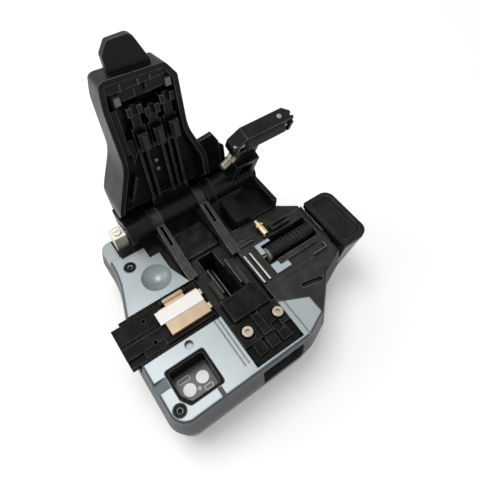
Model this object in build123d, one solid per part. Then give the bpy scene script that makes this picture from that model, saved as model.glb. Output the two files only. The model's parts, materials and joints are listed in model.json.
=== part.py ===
"""Fibre cleaver with a scrap collector, a fibre holder in its slot and the lid standing open.

Millimetres. +X runs along the fibre from the holder to the scrap bin, +Y to the back, +Z up.
The lid and the roller arm are drawn closed and then turned up about the hinge shaft.
"""

import os
from math import radians, tan

from build123d import *

# Clearances
FIT = 0.1  # gap between fixed neighbours
RUN = 0.3  # gap between pieces that pass each other
BORE = 0.05  # radial gap of a shaft in its hole

# Heights above the table
DECK_Z = 34.0
BELT_Z = 22.0
COVER_TOP_Z = 5.0
FOOT_REACH = 1.5
FIBRE_RISE = 0.6  # the fibre runs this far above the deck

# Body plan at its widest line
BODY_LEFT = -60.0
BODY_FRONT = -47.8
BODY_BACK = 47.0
BODY_RIGHT = 45.0
REAR_RIGHT = 36.0
REAR_RIGHT_Y = 17.0
SHOULDER_X = -49.5
SHOULDER_Y = 24.0
WAIST_Y = -8.0
NOSE_X = 6.0
NOSE_LIFT = 0.8
CHEEK_X = 17.5
CHEEK_Y = -41.8
FLANK_X = 31.5
FLANK_Y = -28.0
FLANK_END_Y = -22.0
COLLECTOR_END_Y = 11.0
CORNER_R = 9.0
NOSE_R = 14.0
EDGE_R = 3.0
SHOULDER_R = 40.0
DECK_DRAFT = 10.0  # degrees the sides lean in above the widest line
BASE_DRAFT = 6.0
DECK_EDGE_R = 1.4
WALL = 2.4
DECK_T = 2.5

# Bottom cover, feet and screws
COVER_INSET = 2.6
FOOT_R = 4.5
FOOT_SINK = 0.6
FOOT_LEFT_X = -49.0
FOOT_RIGHT_X = 3.0
FOOT_REAR_LEFT_X = -40.0
FOOT_REAR_RIGHT_X = 26.0
FOOT_FRONT_Y = -37.0
FOOT_REAR_Y = 38.0
COVER_SCREW_R = 2.2
COVER_SCREW_SINK = 1.4
COVER_SCREW_STEP = 9.0  # screws sit this far in from the feet

# Mechanism column
MECH_X = -8.9
MECH_W = 23.4
MECH_FRONT = -43.3
CHASSIS_DROP = 3.0
REAR_FLOOR_DROP = 6.0
RAIL_SPAN = 27.6
RAIL_W = 4.3
RAIL_TOE = 9.5
RAIL_CROWN_Y = 32.5
RAIL_CROWN = 7.5
RAIL_BACK = 43.2
RAIL_SLOT_W = 1.4
RAIL_SLOT_FRONT = 22.0
RAIL_SLOT_BACK = 32.0
RAIL_SLOT_DEPTH = 8.0
FLOOR_PLATE_T = 2.0
FLOOR_PLATE_FRONT = 16.0
FLOOR_PLATE_BACK = 31.5
FINGER_W = 21.0
FINGER_TOP_DROP = 3.5
FINGER_H = 16.0

# Hinge
HINGE_Y = 37.9
HINGE_RISE = 6.4
SHAFT_R = 2.5
BOSS_R = 5.4
STOP_LEFT = -41.8
STOP_W = 6.3
STOP_SIZE = 6.6
STOP_H = 9.0
STOP_SCREW_R = 2.0
STOP_SCREW_H = 0.9
STOP_SLOT_W = 0.6
STOP_END_T = 0.7  # wall over the shaft's end
STOP_EDGE = 0.4
EAR_LEFT = 31.4
EAR_W = 2.2
TRAY_DROP = 4.0
TRAY_T = 5.0
TRAY_LEFT = -42.0
TRAY_STEP_X = -31.2
TRAY_FRONT_Y = 31.3
TRAY_STEP_Y = 25.0
TRAY_INNER_X = -26.4
TRAY_TOE_Y = 15.0

# Deck features
WINDOW_LEFT = -52.2
WINDOW_RIGHT = -33.9
WINDOW_FRONT = -40.6
WINDOW_BACK = -23.7
WINDOW_CUT_X = 2.6
WINDOW_CUT_Y = 4.2
WINDOW_R = 1.4
WINDOW_DEPTH = 12.0
LINER_T = 1.3
PLATE_T = 0.8
DISC_R = 2.7
DISC_T = 0.3
DISC_STEP_X = 3.5
DISC_STEP_Y = 0.8
DECK_SCREW_R = 2.7
DECK_SCREW_SINK = 1.2
DECK_SCREW_SOCKET_R = 1.2
FRONT_SCREW = (-54.0, -39.6)
REAR_SCREW = (-41.2, 25.4)
SET_HOLE = (-38.0, -19.9)
SET_HOLE_R = 1.8
SET_HOLE_DEPTH = 2.2
DIMPLE = (-33.8, 14.5)
DIMPLE_R = 6.7
DIMPLE_DEPTH = 3.6
CAVITY_WALL = 4.6
GROOVE_XS = (-24.1, -22.3)  # shadow grooves beside the mechanism
GROOVE_FRONT = -40.0
RIGHT_GROOVE_X = 5.4
GROOVE_W = 0.5
GROOVE_DEPTH = 0.5
SCOOP_BACK = -25.6  # sloping cut from the window to the left side
SCOOP_FRONT = -30.4
SCOOP_FALL = 3.2
NICK_LEFT = -38.0  # sloping cut from the window to the front
NICK_RIGHT = -36.3
SHELF_Y = 32.6
SHELF_DROP = 3.6

# Right deck edge against the black side housing
RIGHT_DECK_Y = -25.5
RIGHT_DECK_X = 15.6
RIGHT_DECK_CORNER_Y = -31.5

# Fibre holder and its slot
FIBRE_Y = -6.3
SLOT_W = 21.6
SLOT_DEPTH = 7.0
SLOT_LINER_T = 1.2
SLOT_LINER_SINK = 0.2
HOLDER_LEFT = -61.7
HOLDER_GAP = 0.5
HOLDER_EDGE = 0.3
HOLDER_GROOVE_W = 1.6
HOLDER_GROOVE_DEPTH = 0.5
HOLDER_HOLE_R = 0.9
HOLDER_HOLE_DEPTH = 2.0
HOLDER_HOLE_PITCH = 10.6
HOLDER_HOLE_X = -48.5
HOLDER_RAIL_W = 2.9
HOLDER_RAIL_DROP = 1.6
HOLDER_RAIL_RIGHT = -45.0
HOLDER_BRIDGE_LEFT = -54.5  # the rail is bridged from here to its right end
HOLDER_BRIDGE_DROP = 0.5
HOLDER_LID_LEFT = -41.5
HOLDER_LID_RIGHT = -22.8
HOLDER_LID_T = 1.4
HOLDER_LID_SET = 1.9  # in from the base's front
HOLDER_PIN_R = 0.6
HOLDER_PIN_SET = 1.4  # in from the base's back
HOLDER_KNUCKLE_R = 1.1
HOLDER_TAB_LEFT = -37.8
HOLDER_EAR_W = 1.2
HOLDER_EAR_GAP = 0.5  # from the ear to the closed lid's side
HOLDER_STRIP_LEFT = -43.4
HOLDER_STRIP_FRONT = 1.2
HOLDER_STRIP_BACK = 4.8
HOLDER_STRIP_T = 0.3

# Blade, slider and well
WELL_W = 8.4
WELL_PLAY = 1.8
WELL_FLOOR_Z = 8.0
GUIDE_R = 1.2
GUIDE_PITCH = 4.8
GUIDE_Z = 12.5
GUIDE_SEAT = 2.0
BLADE_R = 8.0
BLADE_T = 1.0
BLADE_EDGE_T = 0.1
BLADE_BEVEL = 1.6
BLADE_OVERLAP = 0.1  # the edge rises this far above the fibre line
BLADE_REST_Y = -16.0
BLADE_TRAVEL = 21.0
BLADE_AXLE_R = 1.2
BLADE_HUB_R = 2.6
BLADE_HUB_W = 2.2
SLIDER_L = 16.0
SLIDER_FOOT_Z = 10.0
SLIDER_STEP_Z = 17.0
SLIDER_CHEEK_L = 9.0
SLIDER_CHEEK_RISE = 3.0

# Clamps around the fibre
CLAMP_PITCH = 13.3
LOWER_PAD_W = 1.9
LOWER_PAD_L = 10.0
LOWER_PAD_T = 1.2
LOWER_POST_RIM = 0.3
PAD_GAP = 0.3
GUARD_T = 0.8
GUARD_SET = 0.15
GUARD_FRONT = -9.0
GUARD_BACK = 4.4
GUARD_RISE = 0.4
UPPER_PAD_T = 1.3
UPPER_PAD_L = 6.4
UPPER_BLOCK_L = 7.4
UPPER_BLOCK_W = 3.8
GUIDE_BLOCK_W = 5.8
GUIDE_BLOCK_L = 11.0
GUIDE_BLOCK_H = 5.0
HEAD_L = 9.3  # notched head in front of each guide
HEAD_W = 6.0
HEAD_CAP_L = 3.6
HEAD_NECK_W = 3.6
HEAD_NECK_DROP = 1.2
HEAD_LOW = -2.8
HEAD_NOTCH_W = 2.2
HEAD_NOTCH_DEPTH = 1.8
HEAD_STAGGER = 2.4  # the middle head ends this far short
CLAMP_TRAVEL = 1.5
CLAMP_ROOM = 0.4  # left above a block pressed right in

# Front block and its cap screws
BLOCK_BACK = -12.4
BLOCK_STEP_Y = -23.6
BLOCK_ROOF = 2.3
BLOCK_W = 18.0
BLOCK_LOW = 0.4
BLADE_SLOT_W = 2.6
CAP_SCREW_PITCH = 15.6
CAP_SCREW_X = -7.9
CAP_SCREW_Y = -29.4
CAP_SCREW_R = 2.3
CAP_SCREW_H = 1.7
CAP_SCREW_SOCKET_R = 1.1
CAP_SCREW_SINK = 0.4
BLADE_ROOM = 0.6
NOSE_STEP_Y = -34.5
NOSE_STEP_DROP = 1.6
NOSE_RIB_W = 2.2
NOSE_RIB_DROP = 0.4
SPINE_W = 3.4
SPINE_RISE = 0.9
POCKET_X = 5.2  # pocket beside the spine
POCKET_W = 4.0
POCKET_L = 4.4
POCKET_DEPTH = 1.4
SCREW_RING_W = 1.1
SCREW_RING_DEPTH = 0.8

# Lid, drawn closed: reach is measured forward from the hinge, rise from its axis
LID_OPEN = 98.0
LID_LEFT = -26.8
LID_RIGHT = 3.6
LID_NOSE_L = 6.1  # front wall past the bar
LID_FLARE_LEFT = -35.0
LID_FLARE_RIGHT = 9.6
LID_TAIL = 6.5
LID_WALL = 2.2
LID_RIM = -3.4
LID_CREST = 16.5
LID_CREST_REACH = 14.0
LID_BROW = 9.0
LID_BROW_SET = 0.5
LID_TAIL_RISE = 8.5
LID_DRAFT = 3.0
LID_CORNER_R = 3.0
LID_FLARE_R = 13.0
LID_WAIST_R = 25.0
LID_FRONT_SET = 1.3  # left front corner, in from the side
LID_SHOULDER_X = 4.0  # cut shoulder of the right front corner
LID_SHOULDER_TOP = 1.6
LID_SHOULDER_FOOT = 7.6
LID_SIDE_LEFT = 62.0  # reach where the left side turns in
LID_WAIST_LEFT = 36.0
LID_WAIST_RIGHT = 42.0
LID_FLARE_START_LEFT = 16.0
LID_FLARE_START_RIGHT = 25.0
LID_TAIL_FALL = 5.0
LID_BACK_FALL = 1.6
LID_BULGE = 0.8
TAB_LEFT = -20.5
TAB_RIGHT = -4.5
TAB_L = 10.4
TAB_T = 2.4
TAB_CUT_X = 3.0
TAB_CUT_Y = 4.0
TAB_SLOPE_X = 4.5
TAB_R = 1.5
KNUCKLE_R = 6.3
KNUCKLE_WEB_DROP = 1.5
LID_FRAME_RISE = 3.5
LID_FRAME_T = 2.0
LID_FRAME_BACK = 9.0
LID_FRAME_LAP = 1.0  # the frame ends this far past the brow
LEDGE_W = 2.3  # ledge inside the left wall
LEDGE_LOW = -1.8
LEDGE_BACK = 40.0
SPIKE_W = 2.6
SPIKE_BACK = 33.8
SPIKE_BEND = 38.5
SPIKE_FRONT = 45.0
SPIKE_LOW = -0.6
GUSSET = ((-22.6, 26.5), (-27.3, 15.9))  # diagonal web, x and reach of its ends
GUSSET_W = 1.0
LUG_RIGHT = 20.5  # lug that stands over the roller arm
LUG_BACK = 6.0
LUG_FRONT = 26.5
LUG_CUT = 5.0
LUG_RISE = 4.6
LUG_T = 2.4
BARREL_R = 5.0
RIB_W = 1.0
RIB_DEPTH = 3.4
RIB_BACK = 11.0
RIB_FRONT = 38.0
RIB_SPREAD = (-8.6, -5.6, 1.4, 4.4, 7.4)
LID_BAR_GAP = 0.9
LID_BAR_L = 6.6
LID_BAR_DEPTH = 5.4
LID_BAR_NOTCH_W = 4.4
LID_BAR_NOTCH_DEPTH = 3.0
BAND_SINK = 0.5  # front band, in from the rim
DIVIDER_XS = (-18.4, -11.6, -7.0)
DIVIDER_W = 0.7
CLIP_T = 2.2
CLIP_L = 4.6
CLIP_DEPTH = 6.2
CLIP_SLOPE = 1.4
RIVET_R = 0.8
RIVET_H = 0.6
RIVET_REACH = (23.5, 28.0)
RIVET_X = -11.0

# Scrap collector
COLLECTOR_RIGHT = 43.2
COLLECTOR_FRONT = -17.3
COLLECTOR_BACK = 8.0
COLLECTOR_DEPTH = 10.0
COLLAR_R = 6.0  # rounded corner towards the bin
COLLECTOR_FLOOR_T = 1.5
RIDGE_LEFT = 15.6  # raised bar in front of the mouth
RIDGE_RIGHT = 36.6
RIDGE_W = 2.6
RIDGE_SET = 0.4
RIDGE_H = 1.2
COLLECTOR_RISE = 0.2
MOUTH_LEFT = 11.0
MOUTH_RIGHT = 40.0
MOUTH_FRONT = -9.0
MOUTH_BACK = 3.0
ROLLER_Y = -3.0
ROLLER_R = 4.0
ROLLER_LEFT = 15.2
ROLLER_RIGHT = 39.4
ROLLER_PITCH = 2.1
ROLLER_GROOVE_W = 0.8
ROLLER_GROOVE_DEPTH = 0.6
ROLLER_SHAFT_R = 1.2
ROLLER_SHAFT_SEAT = 1.2
ROLLER_SHAFT_PLAY = 0.2
END_DISC_R = 3.5
END_DISC_T = 1.2
ROD_R = 0.8
ROD_XS = (3.9, 7.0)
ROD_FRONT = -15.4
ROD_BACK = 0.6
ROD_SINK = 0.5
PALE_T = 0.7
PALE_GAP = 0.4
PALE_L = 8.0
PALE_W = 1.6
PALE_BACK = -9.9  # outer plate
PALE_FRONT = -15.0
PALE_STEP = 2.8
BUSH_X = 18.6
BUSH_FRONT = 3.6
BUSH_BACK = 12.2
BUSH_R = 1.5
BUSH_FLANGE_R = 2.3
BUSH_FLANGE_T = 0.9
BUSH_FLANGE_Y = 8.3
BUSH_NECK_R = 1.0
BUSH_NECK_Y = 10.4
FORK_LEFT = 22.5
FORK_RIGHT = 33.0
FORK_FRONT = 4.2
FORK_BACK = 7.4
FORK_H = 2.4
FORK_SLOT_W = 1.2
FORK_FLOOR_T = 0.4
EDGE_STRIP_T = 0.6
EDGE_STRIP_H = 1.2
EDGE_STRIP_SET = 0.4
EDGE_STRIP_CORNER_X = 38.6
EDGE_STRIP_CORNER_L = 8.0
EDGE_STRIP_CORNER_W = 3.2
EDGE_STRIP_LEFT_Y = 5.0
EDGE_STRIP_LEFT_END = 12.2
GEAR_LEFT = 10.2
GEAR_FRONT = 15.4
GEAR_BACK = 31.2
GEAR_RISE = 1.2
GEAR_PLATE_RISE = 6.0
GEAR_HUMP_W = 7.4
GEAR_HUMP_RISE = 5.0
REAR_DROP = 7.0
GEAR_R = 2.0
FLANK_SLOT = (21.4, -26.6)  # slanted slot in the side housing's top
FLANK_SLOT_L = 10.5
FLANK_SLOT_W = 2.2
FLANK_SLOT_TURN = -12.0
FLANK_SLOT_DEPTH = 1.6

# Roller arm, drawn closed
ARM_OPEN = 72.0
ARM_LEFT = 10.2
ARM_BARREL_R = 6.0
ARM_GAP = 0.4  # side play of the arm on the shaft
LEG_LEFT = 18.6
LEG_LOW = -1.0
LEG_BLOCK_LOW = -4.2  # thicker foot of the leg
LEG_BLOCK_BACK = 7.5
LEG_BLOCK_FRONT = 22.0
LEG_POCKET_SIDE = 2.6
LEG_POCKET_END = 2.4
LEG_POCKET_ROOF = 1.6
ARM_BAR_LEFT = 13.5
ARM_BAR_RIGHT = 41.6
ARM_BAR_W = 10.2
ARM_BAR_TOP = 2.4
ARM_BAR_LOW = -3.6
ARM_BAR_ROOF = 1.3
ARM_BAR_WALL = 1.4
ARM_BAR_BEVEL = 5.0
ARM_TIP_CUT = 2.6
ARM_NOTCH_W = 1.2
ARM_NOTCH_DEPTH = 0.9
ARM_CHEEK_W = 6.0
ARM_CHEEK_LOW = -4.6
UPPER_ROLLER_R = 3.0
UPPER_ROLLER_GAP = 0.4
ROLLER_PLAY = 0.6
LIFT_PIN_R = 1.6
LIFT_PIN_L = 8.2
LIFT_PIN_TILT = 18.0  # degrees its free end hangs down
LIFT_PIN_SEAT = 2.4
LIFT_PIN_REACH = 26.5
LIFT_PIN_RISE = 0.4
LIFT_PIN_EDGE = 0.4
PIN_BOSS_R = 2.4
PIN_BOSS_L = 1.0
PIN_COLLAR_R = 2.1
PIN_COLLAR_L = 2.4
ARM_RIVET_X = 35.9
ARM_RIVET_R = 1.1
ARM_RIVET_H = 0.5

# Scrap bin
BIN_LEFT = 45.4
BIN_W = 13.6
BIN_FRONT = -22.0
BIN_L = 29.3
BIN_TOP_RISE = 0.3
BIN_FOOT_Z = 6.0
BIN_FOOT_W = 5.6
BIN_FOOT_L = 24.0
BIN_R = 4.0
BIN_FOOT_R = 1.2
BIN_WALL = 1.5
BIN_INLET_DEPTH = 5.0
BIN_CAP_LEFT = 43.6
BIN_CAP_OVERHANG = 0.3
BIN_CAP_T = 2.7
BIN_CAP_GAP = 0.3
BIN_CAP_CORNER_R = 5.0
BIN_CAP_DISH_SET = 2.4
BIN_CAP_DISH_DEPTH = 1.5
BIN_CAP_DISH_LEAN = 50.0  # degrees its walls lean out
BIN_CAP_EDGE = 0.6
BIN_CAP_PLUG_T = 1.5
BIN_CAP_PLUG_SET = 2.4
BIN_CAP_PLUG_R = 2.2
TONGUE_L = 4.0
TONGUE_W = 3.0
TONGUE_H = 4.0
TONGUE_Z = 14.0
TONGUE_YS = (-17.0, 2.0)

# Values that follow from the ones above
HINGE_Z = DECK_Z + HINGE_RISE
FIBRE_Z = DECK_Z + FIBRE_RISE
MECH_LEFT = MECH_X - MECH_W / 2
MECH_RIGHT = MECH_X + MECH_W / 2
RAIL_LEFT = MECH_X - RAIL_SPAN / 2
RAIL_RIGHT = MECH_X + RAIL_SPAN / 2
CHASSIS_Z = DECK_Z - CHASSIS_DROP
REAR_FLOOR_Z = DECK_Z - REAR_FLOOR_DROP
COLLECTOR_Z = DECK_Z + COLLECTOR_RISE
COLLECTOR_LEFT = MECH_RIGHT + 2 * FIT
COLLECTOR_REAR_LEFT = RAIL_RIGHT + 2 * FIT
STOP_RIGHT = STOP_LEFT + STOP_W
EAR_RIGHT = EAR_LEFT + EAR_W
ARM_RIGHT = EAR_LEFT - ARM_GAP
LEG_RIGHT = ARM_RIGHT - ARM_GAP
WELL_FRONT = BLADE_REST_Y - SLIDER_L / 2 - WELL_PLAY
WELL_BACK = BLADE_REST_Y + SLIDER_L / 2 + BLADE_TRAVEL + WELL_PLAY
SLOT_FRONT = FIBRE_Y - SLOT_W / 2
SLOT_BACK = FIBRE_Y + SLOT_W / 2
SLOT_FLOOR_Z = DECK_Z - SLOT_DEPTH
SLOT_RIGHT = MECH_LEFT - FIT
HOLDER_WALL = FIT + SLOT_LINER_T + HOLDER_GAP
HOLDER_FRONT = SLOT_FRONT + HOLDER_WALL
HOLDER_BACK = SLOT_BACK - HOLDER_WALL
HOLDER_TAB_RIGHT = LID_LEFT - HOLDER_EAR_GAP - HOLDER_EAR_W - FIT
RAIL_FRONT = SLOT_BACK + RUN
COLLECTOR_NOTCH_Y = RAIL_FRONT - 3 * FIT
BLADE_Z = FIBRE_Z + BLADE_OVERLAP - BLADE_R
LOWER_PAD_Z = FIBRE_Z - FIT
ROLLER_Z = FIBRE_Z - FIT - ROLLER_R
CLAMP_REACH = HINGE_Y - FIBRE_Y
HEAD_BACK = CLAMP_REACH + GUIDE_BLOCK_L / 2
HEAD_FRONT = HEAD_BACK + HEAD_L
LID_BAR_BACK = HEAD_FRONT + LID_BAR_GAP
LID_BAR_FRONT = LID_BAR_BACK + LID_BAR_L
LID_BROW_REACH = LID_BAR_FRONT - LID_BROW_SET
LID_FRONT = LID_BAR_FRONT + LID_NOSE_L
LID_FRAME_FRONT = LID_BROW_REACH + LID_FRAME_LAP
TAB_REACH = LID_FRONT + TAB_L
FAR = 200.0  # long enough to cut right through
HINGE_AXIS = Axis((0, HINGE_Y, HINGE_Z), (1, 0, 0))


def box(x0, x1, y0, y1, z0, z1):
    """A block between two corners."""
    return Pos((x0 + x1) / 2, (y0 + y1) / 2, (z0 + z1) / 2) * Box(x1 - x0, y1 - y0, z1 - z0)


def rod_x(x0, x1, y, z, radius):
    """A round bar along X."""
    low = (Align.CENTER, Align.CENTER, Align.MIN)
    return Pos(x0, y, z) * Rot(0, 90, 0) * Cylinder(radius, x1 - x0, align=low)


def rod_y(y0, y1, x, z, radius):
    """A round bar along Y."""
    low = (Align.CENTER, Align.CENTER, Align.MIN)
    return Pos(x, y0, z) * Rot(-90, 0, 0) * Cylinder(radius, y1 - y0, align=low)


def rod_z(z0, z1, x, y, radius):
    """A round bar along Z."""
    low = (Align.CENTER, Align.CENTER, Align.MIN)
    return Pos(x, y, z0) * Cylinder(radius, z1 - z0, align=low)


def outline(corners):
    """A flat face from (x, y, corner radius) points."""
    points = [(x, y) for x, y, _ in corners]
    return make_face(FilletPolyline(*points, radius=[r for _, _, r in corners], close=True))


def prism(face, z0, z1, taper=0.0):
    """A face in the ground plane raised from z0 to z1."""
    return Pos(0, 0, z0) * extrude(face, amount=z1 - z0, dir=(0, 0, 1), taper=taper)


def side_prism(points, x0, x1):
    """An outline of (y, z) points carried from x0 to x1."""
    face = make_face(Plane.YZ * Polyline(*points, close=True))
    return Pos(x0, 0, 0) * extrude(face, amount=x1 - x0, dir=(1, 0, 0))


def swing_box(x0, x1, reach0, reach1, rise0, rise1):
    """A block placed by its reach and rise from the hinge, drawn closed."""
    return box(x0, x1, HINGE_Y - reach1, HINGE_Y - reach0, HINGE_Z + rise0, HINGE_Z + rise1)


def socket_screw(x, y, z, radius, height, socket_radius):
    """A screw head with a hexagon socket, standing on height z."""
    head = rod_z(z, z + height, x, y, radius)
    socket = prism(RegularPolygon(socket_radius, 6), z + height / 3, z + height + FIT)
    return head - Pos(x, y, 0) * socket


# Outer form that the housings share

BODY_CORNERS = [
    (BODY_LEFT, BODY_FRONT, CORNER_R),
    (NOSE_X, BODY_FRONT + NOSE_LIFT, NOSE_R),
    (CHEEK_X, CHEEK_Y, EDGE_R),
    (FLANK_X, FLANK_Y, EDGE_R),
    (BODY_RIGHT, FLANK_END_Y, EDGE_R),
    (BODY_RIGHT, COLLECTOR_END_Y, EDGE_R),
    (REAR_RIGHT, REAR_RIGHT_Y, EDGE_R),
    (REAR_RIGHT, BODY_BACK, EDGE_R),
    (SHOULDER_X, BODY_BACK, EDGE_R * 2),
    (SHOULDER_X, SHOULDER_Y, SHOULDER_R),
    (BODY_LEFT, WAIST_Y, SHOULDER_R),
]


def body_form():
    """The whole lower body, widest at the belt line and leaning in above and below it."""
    plan = outline(BODY_CORNERS)
    upper = prism(plan, BELT_Z, DECK_Z, taper=DECK_DRAFT)
    lower = Pos(0, 0, BELT_Z) * extrude(plan, amount=BELT_Z - COVER_TOP_Z, dir=(0, 0, -1), taper=BASE_DRAFT)
    upper = fillet(upper.faces().sort_by(Axis.Z)[-1].edges(), DECK_EDGE_R)
    return upper + lower


FORM = body_form()


def mechanism_zone(gap):
    """The column that the chassis takes out of the form."""
    front = box(MECH_LEFT - gap, MECH_RIGHT + gap, MECH_FRONT - gap, RAIL_FRONT, 0, FAR)
    rear = box(RAIL_LEFT - gap, RAIL_RIGHT + gap, RAIL_FRONT - gap, FAR, 0, FAR)
    return front + rear


def side_zone(gap):
    """Everything to the right of the mechanism and behind the small right deck."""
    corners = [
        (MECH_RIGHT + FIT + gap, RIGHT_DECK_Y + gap),
        (RIGHT_DECK_X + gap, RIGHT_DECK_CORNER_Y + gap),
        (RIGHT_DECK_X + gap, -FAR),
        (FAR, -FAR),
        (FAR, FAR),
        (RAIL_RIGHT + FIT + gap, FAR),
        (RAIL_RIGHT + FIT + gap, RAIL_FRONT - FIT + gap),
        (MECH_RIGHT + FIT + gap, RAIL_FRONT - FIT + gap),
    ]
    return prism(make_face(Polyline(*corners, close=True)), 0, FAR)


def tray_face():
    """Plan of the black hinge tray beside the left bracket."""
    corners = [
        (RAIL_LEFT - FIT, RAIL_FRONT),
        (RAIL_LEFT - FIT, FAR),
        (TRAY_LEFT, FAR),
        (TRAY_LEFT, TRAY_FRONT_Y),
        (TRAY_STEP_X, TRAY_FRONT_Y),
        (TRAY_STEP_X, TRAY_STEP_Y),
        (TRAY_INNER_X, TRAY_STEP_Y),
        (TRAY_INNER_X, TRAY_TOE_Y),
    ]
    return make_face(Polyline(*corners, close=True))


def window_face(inset):
    """Plan of the window, with one corner cut off."""
    left, right = WINDOW_LEFT + inset, WINDOW_RIGHT - inset
    front, back = WINDOW_FRONT + inset, WINDOW_BACK - inset
    corners = [
        (left + WINDOW_CUT_X, front, WINDOW_R),
        (right, front, WINDOW_R),
        (right, back, WINDOW_R),
        (left, back, WINDOW_R),
        (left, front + WINDOW_CUT_Y, WINDOW_R),
    ]
    return outline(corners)


# Painted top cover

def top_cover():
    """Front deck, rear left deck, front strip and right deck in one moulding."""
    slot_floor = SLOT_FLOOR_Z - FIT
    cover = FORM - mechanism_zone(FIT) - side_zone(0)
    cover -= prism(offset(tray_face(), amount=FIT), DECK_Z - TRAY_DROP - TRAY_T - FIT, FAR)
    cover -= box(-FAR, SLOT_RIGHT, SLOT_FRONT, SLOT_BACK, slot_floor, FAR)
    cover -= prism(window_face(0), DECK_Z - WINDOW_DEPTH - FIT, FAR)
    left = BODY_LEFT + CAVITY_WALL
    right = MECH_LEFT - FIT - WALL
    front = BODY_FRONT + CAVITY_WALL
    waist = SHOULDER_X + CAVITY_WALL
    under_slot = [
        (left, front),
        (right, front),
        (right, SLOT_BACK + WALL),
        (waist, SLOT_BACK + WALL),
        (left, WAIST_Y - CAVITY_WALL),
    ]
    hollow = make_face(Polyline(*under_slot, close=True))
    cover -= prism(hollow, COVER_TOP_Z, slot_floor - WALL)
    cover -= box(left, right, front, SLOT_FRONT - WALL, COVER_TOP_Z, DECK_Z - DECK_T)
    rear_top = DECK_Z - TRAY_DROP - TRAY_T - FIT - WALL
    cover -= box(waist, TRAY_INNER_X - WALL, SLOT_BACK, TRAY_FRONT_Y, COVER_TOP_Z, rear_top)
    finger_z = DECK_Z - FINGER_TOP_DROP
    half = FINGER_W / 2
    cover -= box(MECH_X - half, MECH_X + half, -FAR, MECH_FRONT, finger_z - FINGER_H, finger_z)
    for x, y in (FRONT_SCREW, REAR_SCREW):
        cover -= rod_z(DECK_Z - DECK_SCREW_SINK, FAR, x, y, DECK_SCREW_R + FIT)
    cover -= rod_z(DECK_Z - SET_HOLE_DEPTH, FAR, *SET_HOLE, SET_HOLE_R)
    groove_z = DECK_Z - GROOVE_DEPTH
    for x in GROOVE_XS:
        cover -= box(x - GROOVE_W / 2, x + GROOVE_W / 2, GROOVE_FRONT, SLOT_FRONT, groove_z, FAR)
    x = RIGHT_GROOVE_X
    cover -= box(x - GROOVE_W / 2, x + GROOVE_W / 2, -FAR, RIGHT_DECK_Y, groove_z, FAR)
    cover -= window_scoops()
    cover -= box(-FAR, TRAY_LEFT, SHELF_Y, FAR, DECK_Z - SHELF_DROP, FAR)
    ball_r = (DIMPLE_R**2 + DIMPLE_DEPTH**2) / (2 * DIMPLE_DEPTH)
    cover -= Pos(*DIMPLE, DECK_Z - DIMPLE_DEPTH + ball_r) * Sphere(ball_r)
    return cover


def window_scoops():
    """Two cuts that slope down from the window to the left side and to the front."""
    left, front = BODY_LEFT - WALL, BODY_FRONT - WALL
    high, low = DECK_Z + WALL, DECK_Z - SCOOP_FALL
    across = [(WINDOW_LEFT, DECK_Z), (left, low), (left, high), (WINDOW_LEFT, high)]
    face = make_face(Plane.XZ * Polyline(*across, close=True))
    scoop = Pos(0, SCOOP_FRONT, 0) * extrude(face, amount=SCOOP_BACK - SCOOP_FRONT, dir=(0, 1, 0))
    along = [(WINDOW_FRONT, DECK_Z), (front, low), (front, high), (WINDOW_FRONT, high)]
    return [scoop, side_prism(along, NICK_LEFT, NICK_RIGHT)]


def deck_screws():
    """Two socket screws sunk in the deck."""
    foot = DECK_Z - DECK_SCREW_SINK
    height = DECK_SCREW_SINK - FIT
    return [
        socket_screw(x, y, foot, DECK_SCREW_R, height, DECK_SCREW_SOCKET_R)
        for x, y in (FRONT_SCREW, REAR_SCREW)
    ]


def window_liner():
    """Black tub that lines the window."""
    floor = DECK_Z - WINDOW_DEPTH
    tub = prism(window_face(FIT), floor, DECK_Z)
    return tub - prism(window_face(LINER_T), floor + LINER_T, FAR)


def window_plate():
    """Dark plate at the bottom of the window with two round pads."""
    floor = DECK_Z - WINDOW_DEPTH + LINER_T
    plate = prism(window_face(LINER_T + FIT), floor, floor + PLATE_T)
    middle_x = (WINDOW_LEFT + WINDOW_RIGHT) / 2
    middle_y = (WINDOW_FRONT + WINDOW_BACK) / 2
    for side in (-1, 1):
        x = middle_x + side * DISC_STEP_X
        y = middle_y + side * DISC_STEP_Y
        plate += rod_z(floor, floor + PLATE_T + DISC_T, x, y, DISC_R)
    return plate


# Bottom cover and feet

FOOT_PLACES = [
    (FOOT_LEFT_X, FOOT_FRONT_Y),
    (FOOT_RIGHT_X, FOOT_FRONT_Y),
    (FOOT_REAR_LEFT_X, FOOT_REAR_Y),
    (FOOT_REAR_RIGHT_X, FOOT_REAR_Y),
]


def cover_screw_places():
    """Screws stand beside the feet, towards the middle."""
    return [(x + (COVER_SCREW_STEP if x < MECH_X else -COVER_SCREW_STEP), y) for x, y in FOOT_PLACES]


def bottom_cover():
    """Plate that closes the body from below."""
    plan = offset(outline(BODY_CORNERS), amount=-COVER_INSET)
    cover = prism(plan, FOOT_REACH, COVER_TOP_Z)
    for x, y in FOOT_PLACES:
        cover -= rod_z(0, FOOT_REACH + FOOT_SINK, x, y, FOOT_R + FIT)
    for x, y in cover_screw_places():
        cover -= rod_z(0, FOOT_REACH + COVER_SCREW_SINK, x, y, COVER_SCREW_R + FIT)
    return cover


def rubber_feet():
    """Four round pads let into the bottom cover."""
    pads = [rod_z(0, FOOT_REACH + FOOT_SINK, x, y, FOOT_R) for x, y in FOOT_PLACES]
    return [chamfer(pad.faces().sort_by(Axis.Z)[0].edges(), FOOT_SINK / 2) for pad in pads]


def bottom_screws():
    """Heads of the screws that hold the bottom cover."""
    low = FOOT_REACH + FIT
    high = FOOT_REACH + COVER_SCREW_SINK
    return [rod_z(low, high, x, y, COVER_SCREW_R) for x, y in cover_screw_places()]


# Chassis and hinge brackets

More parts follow.
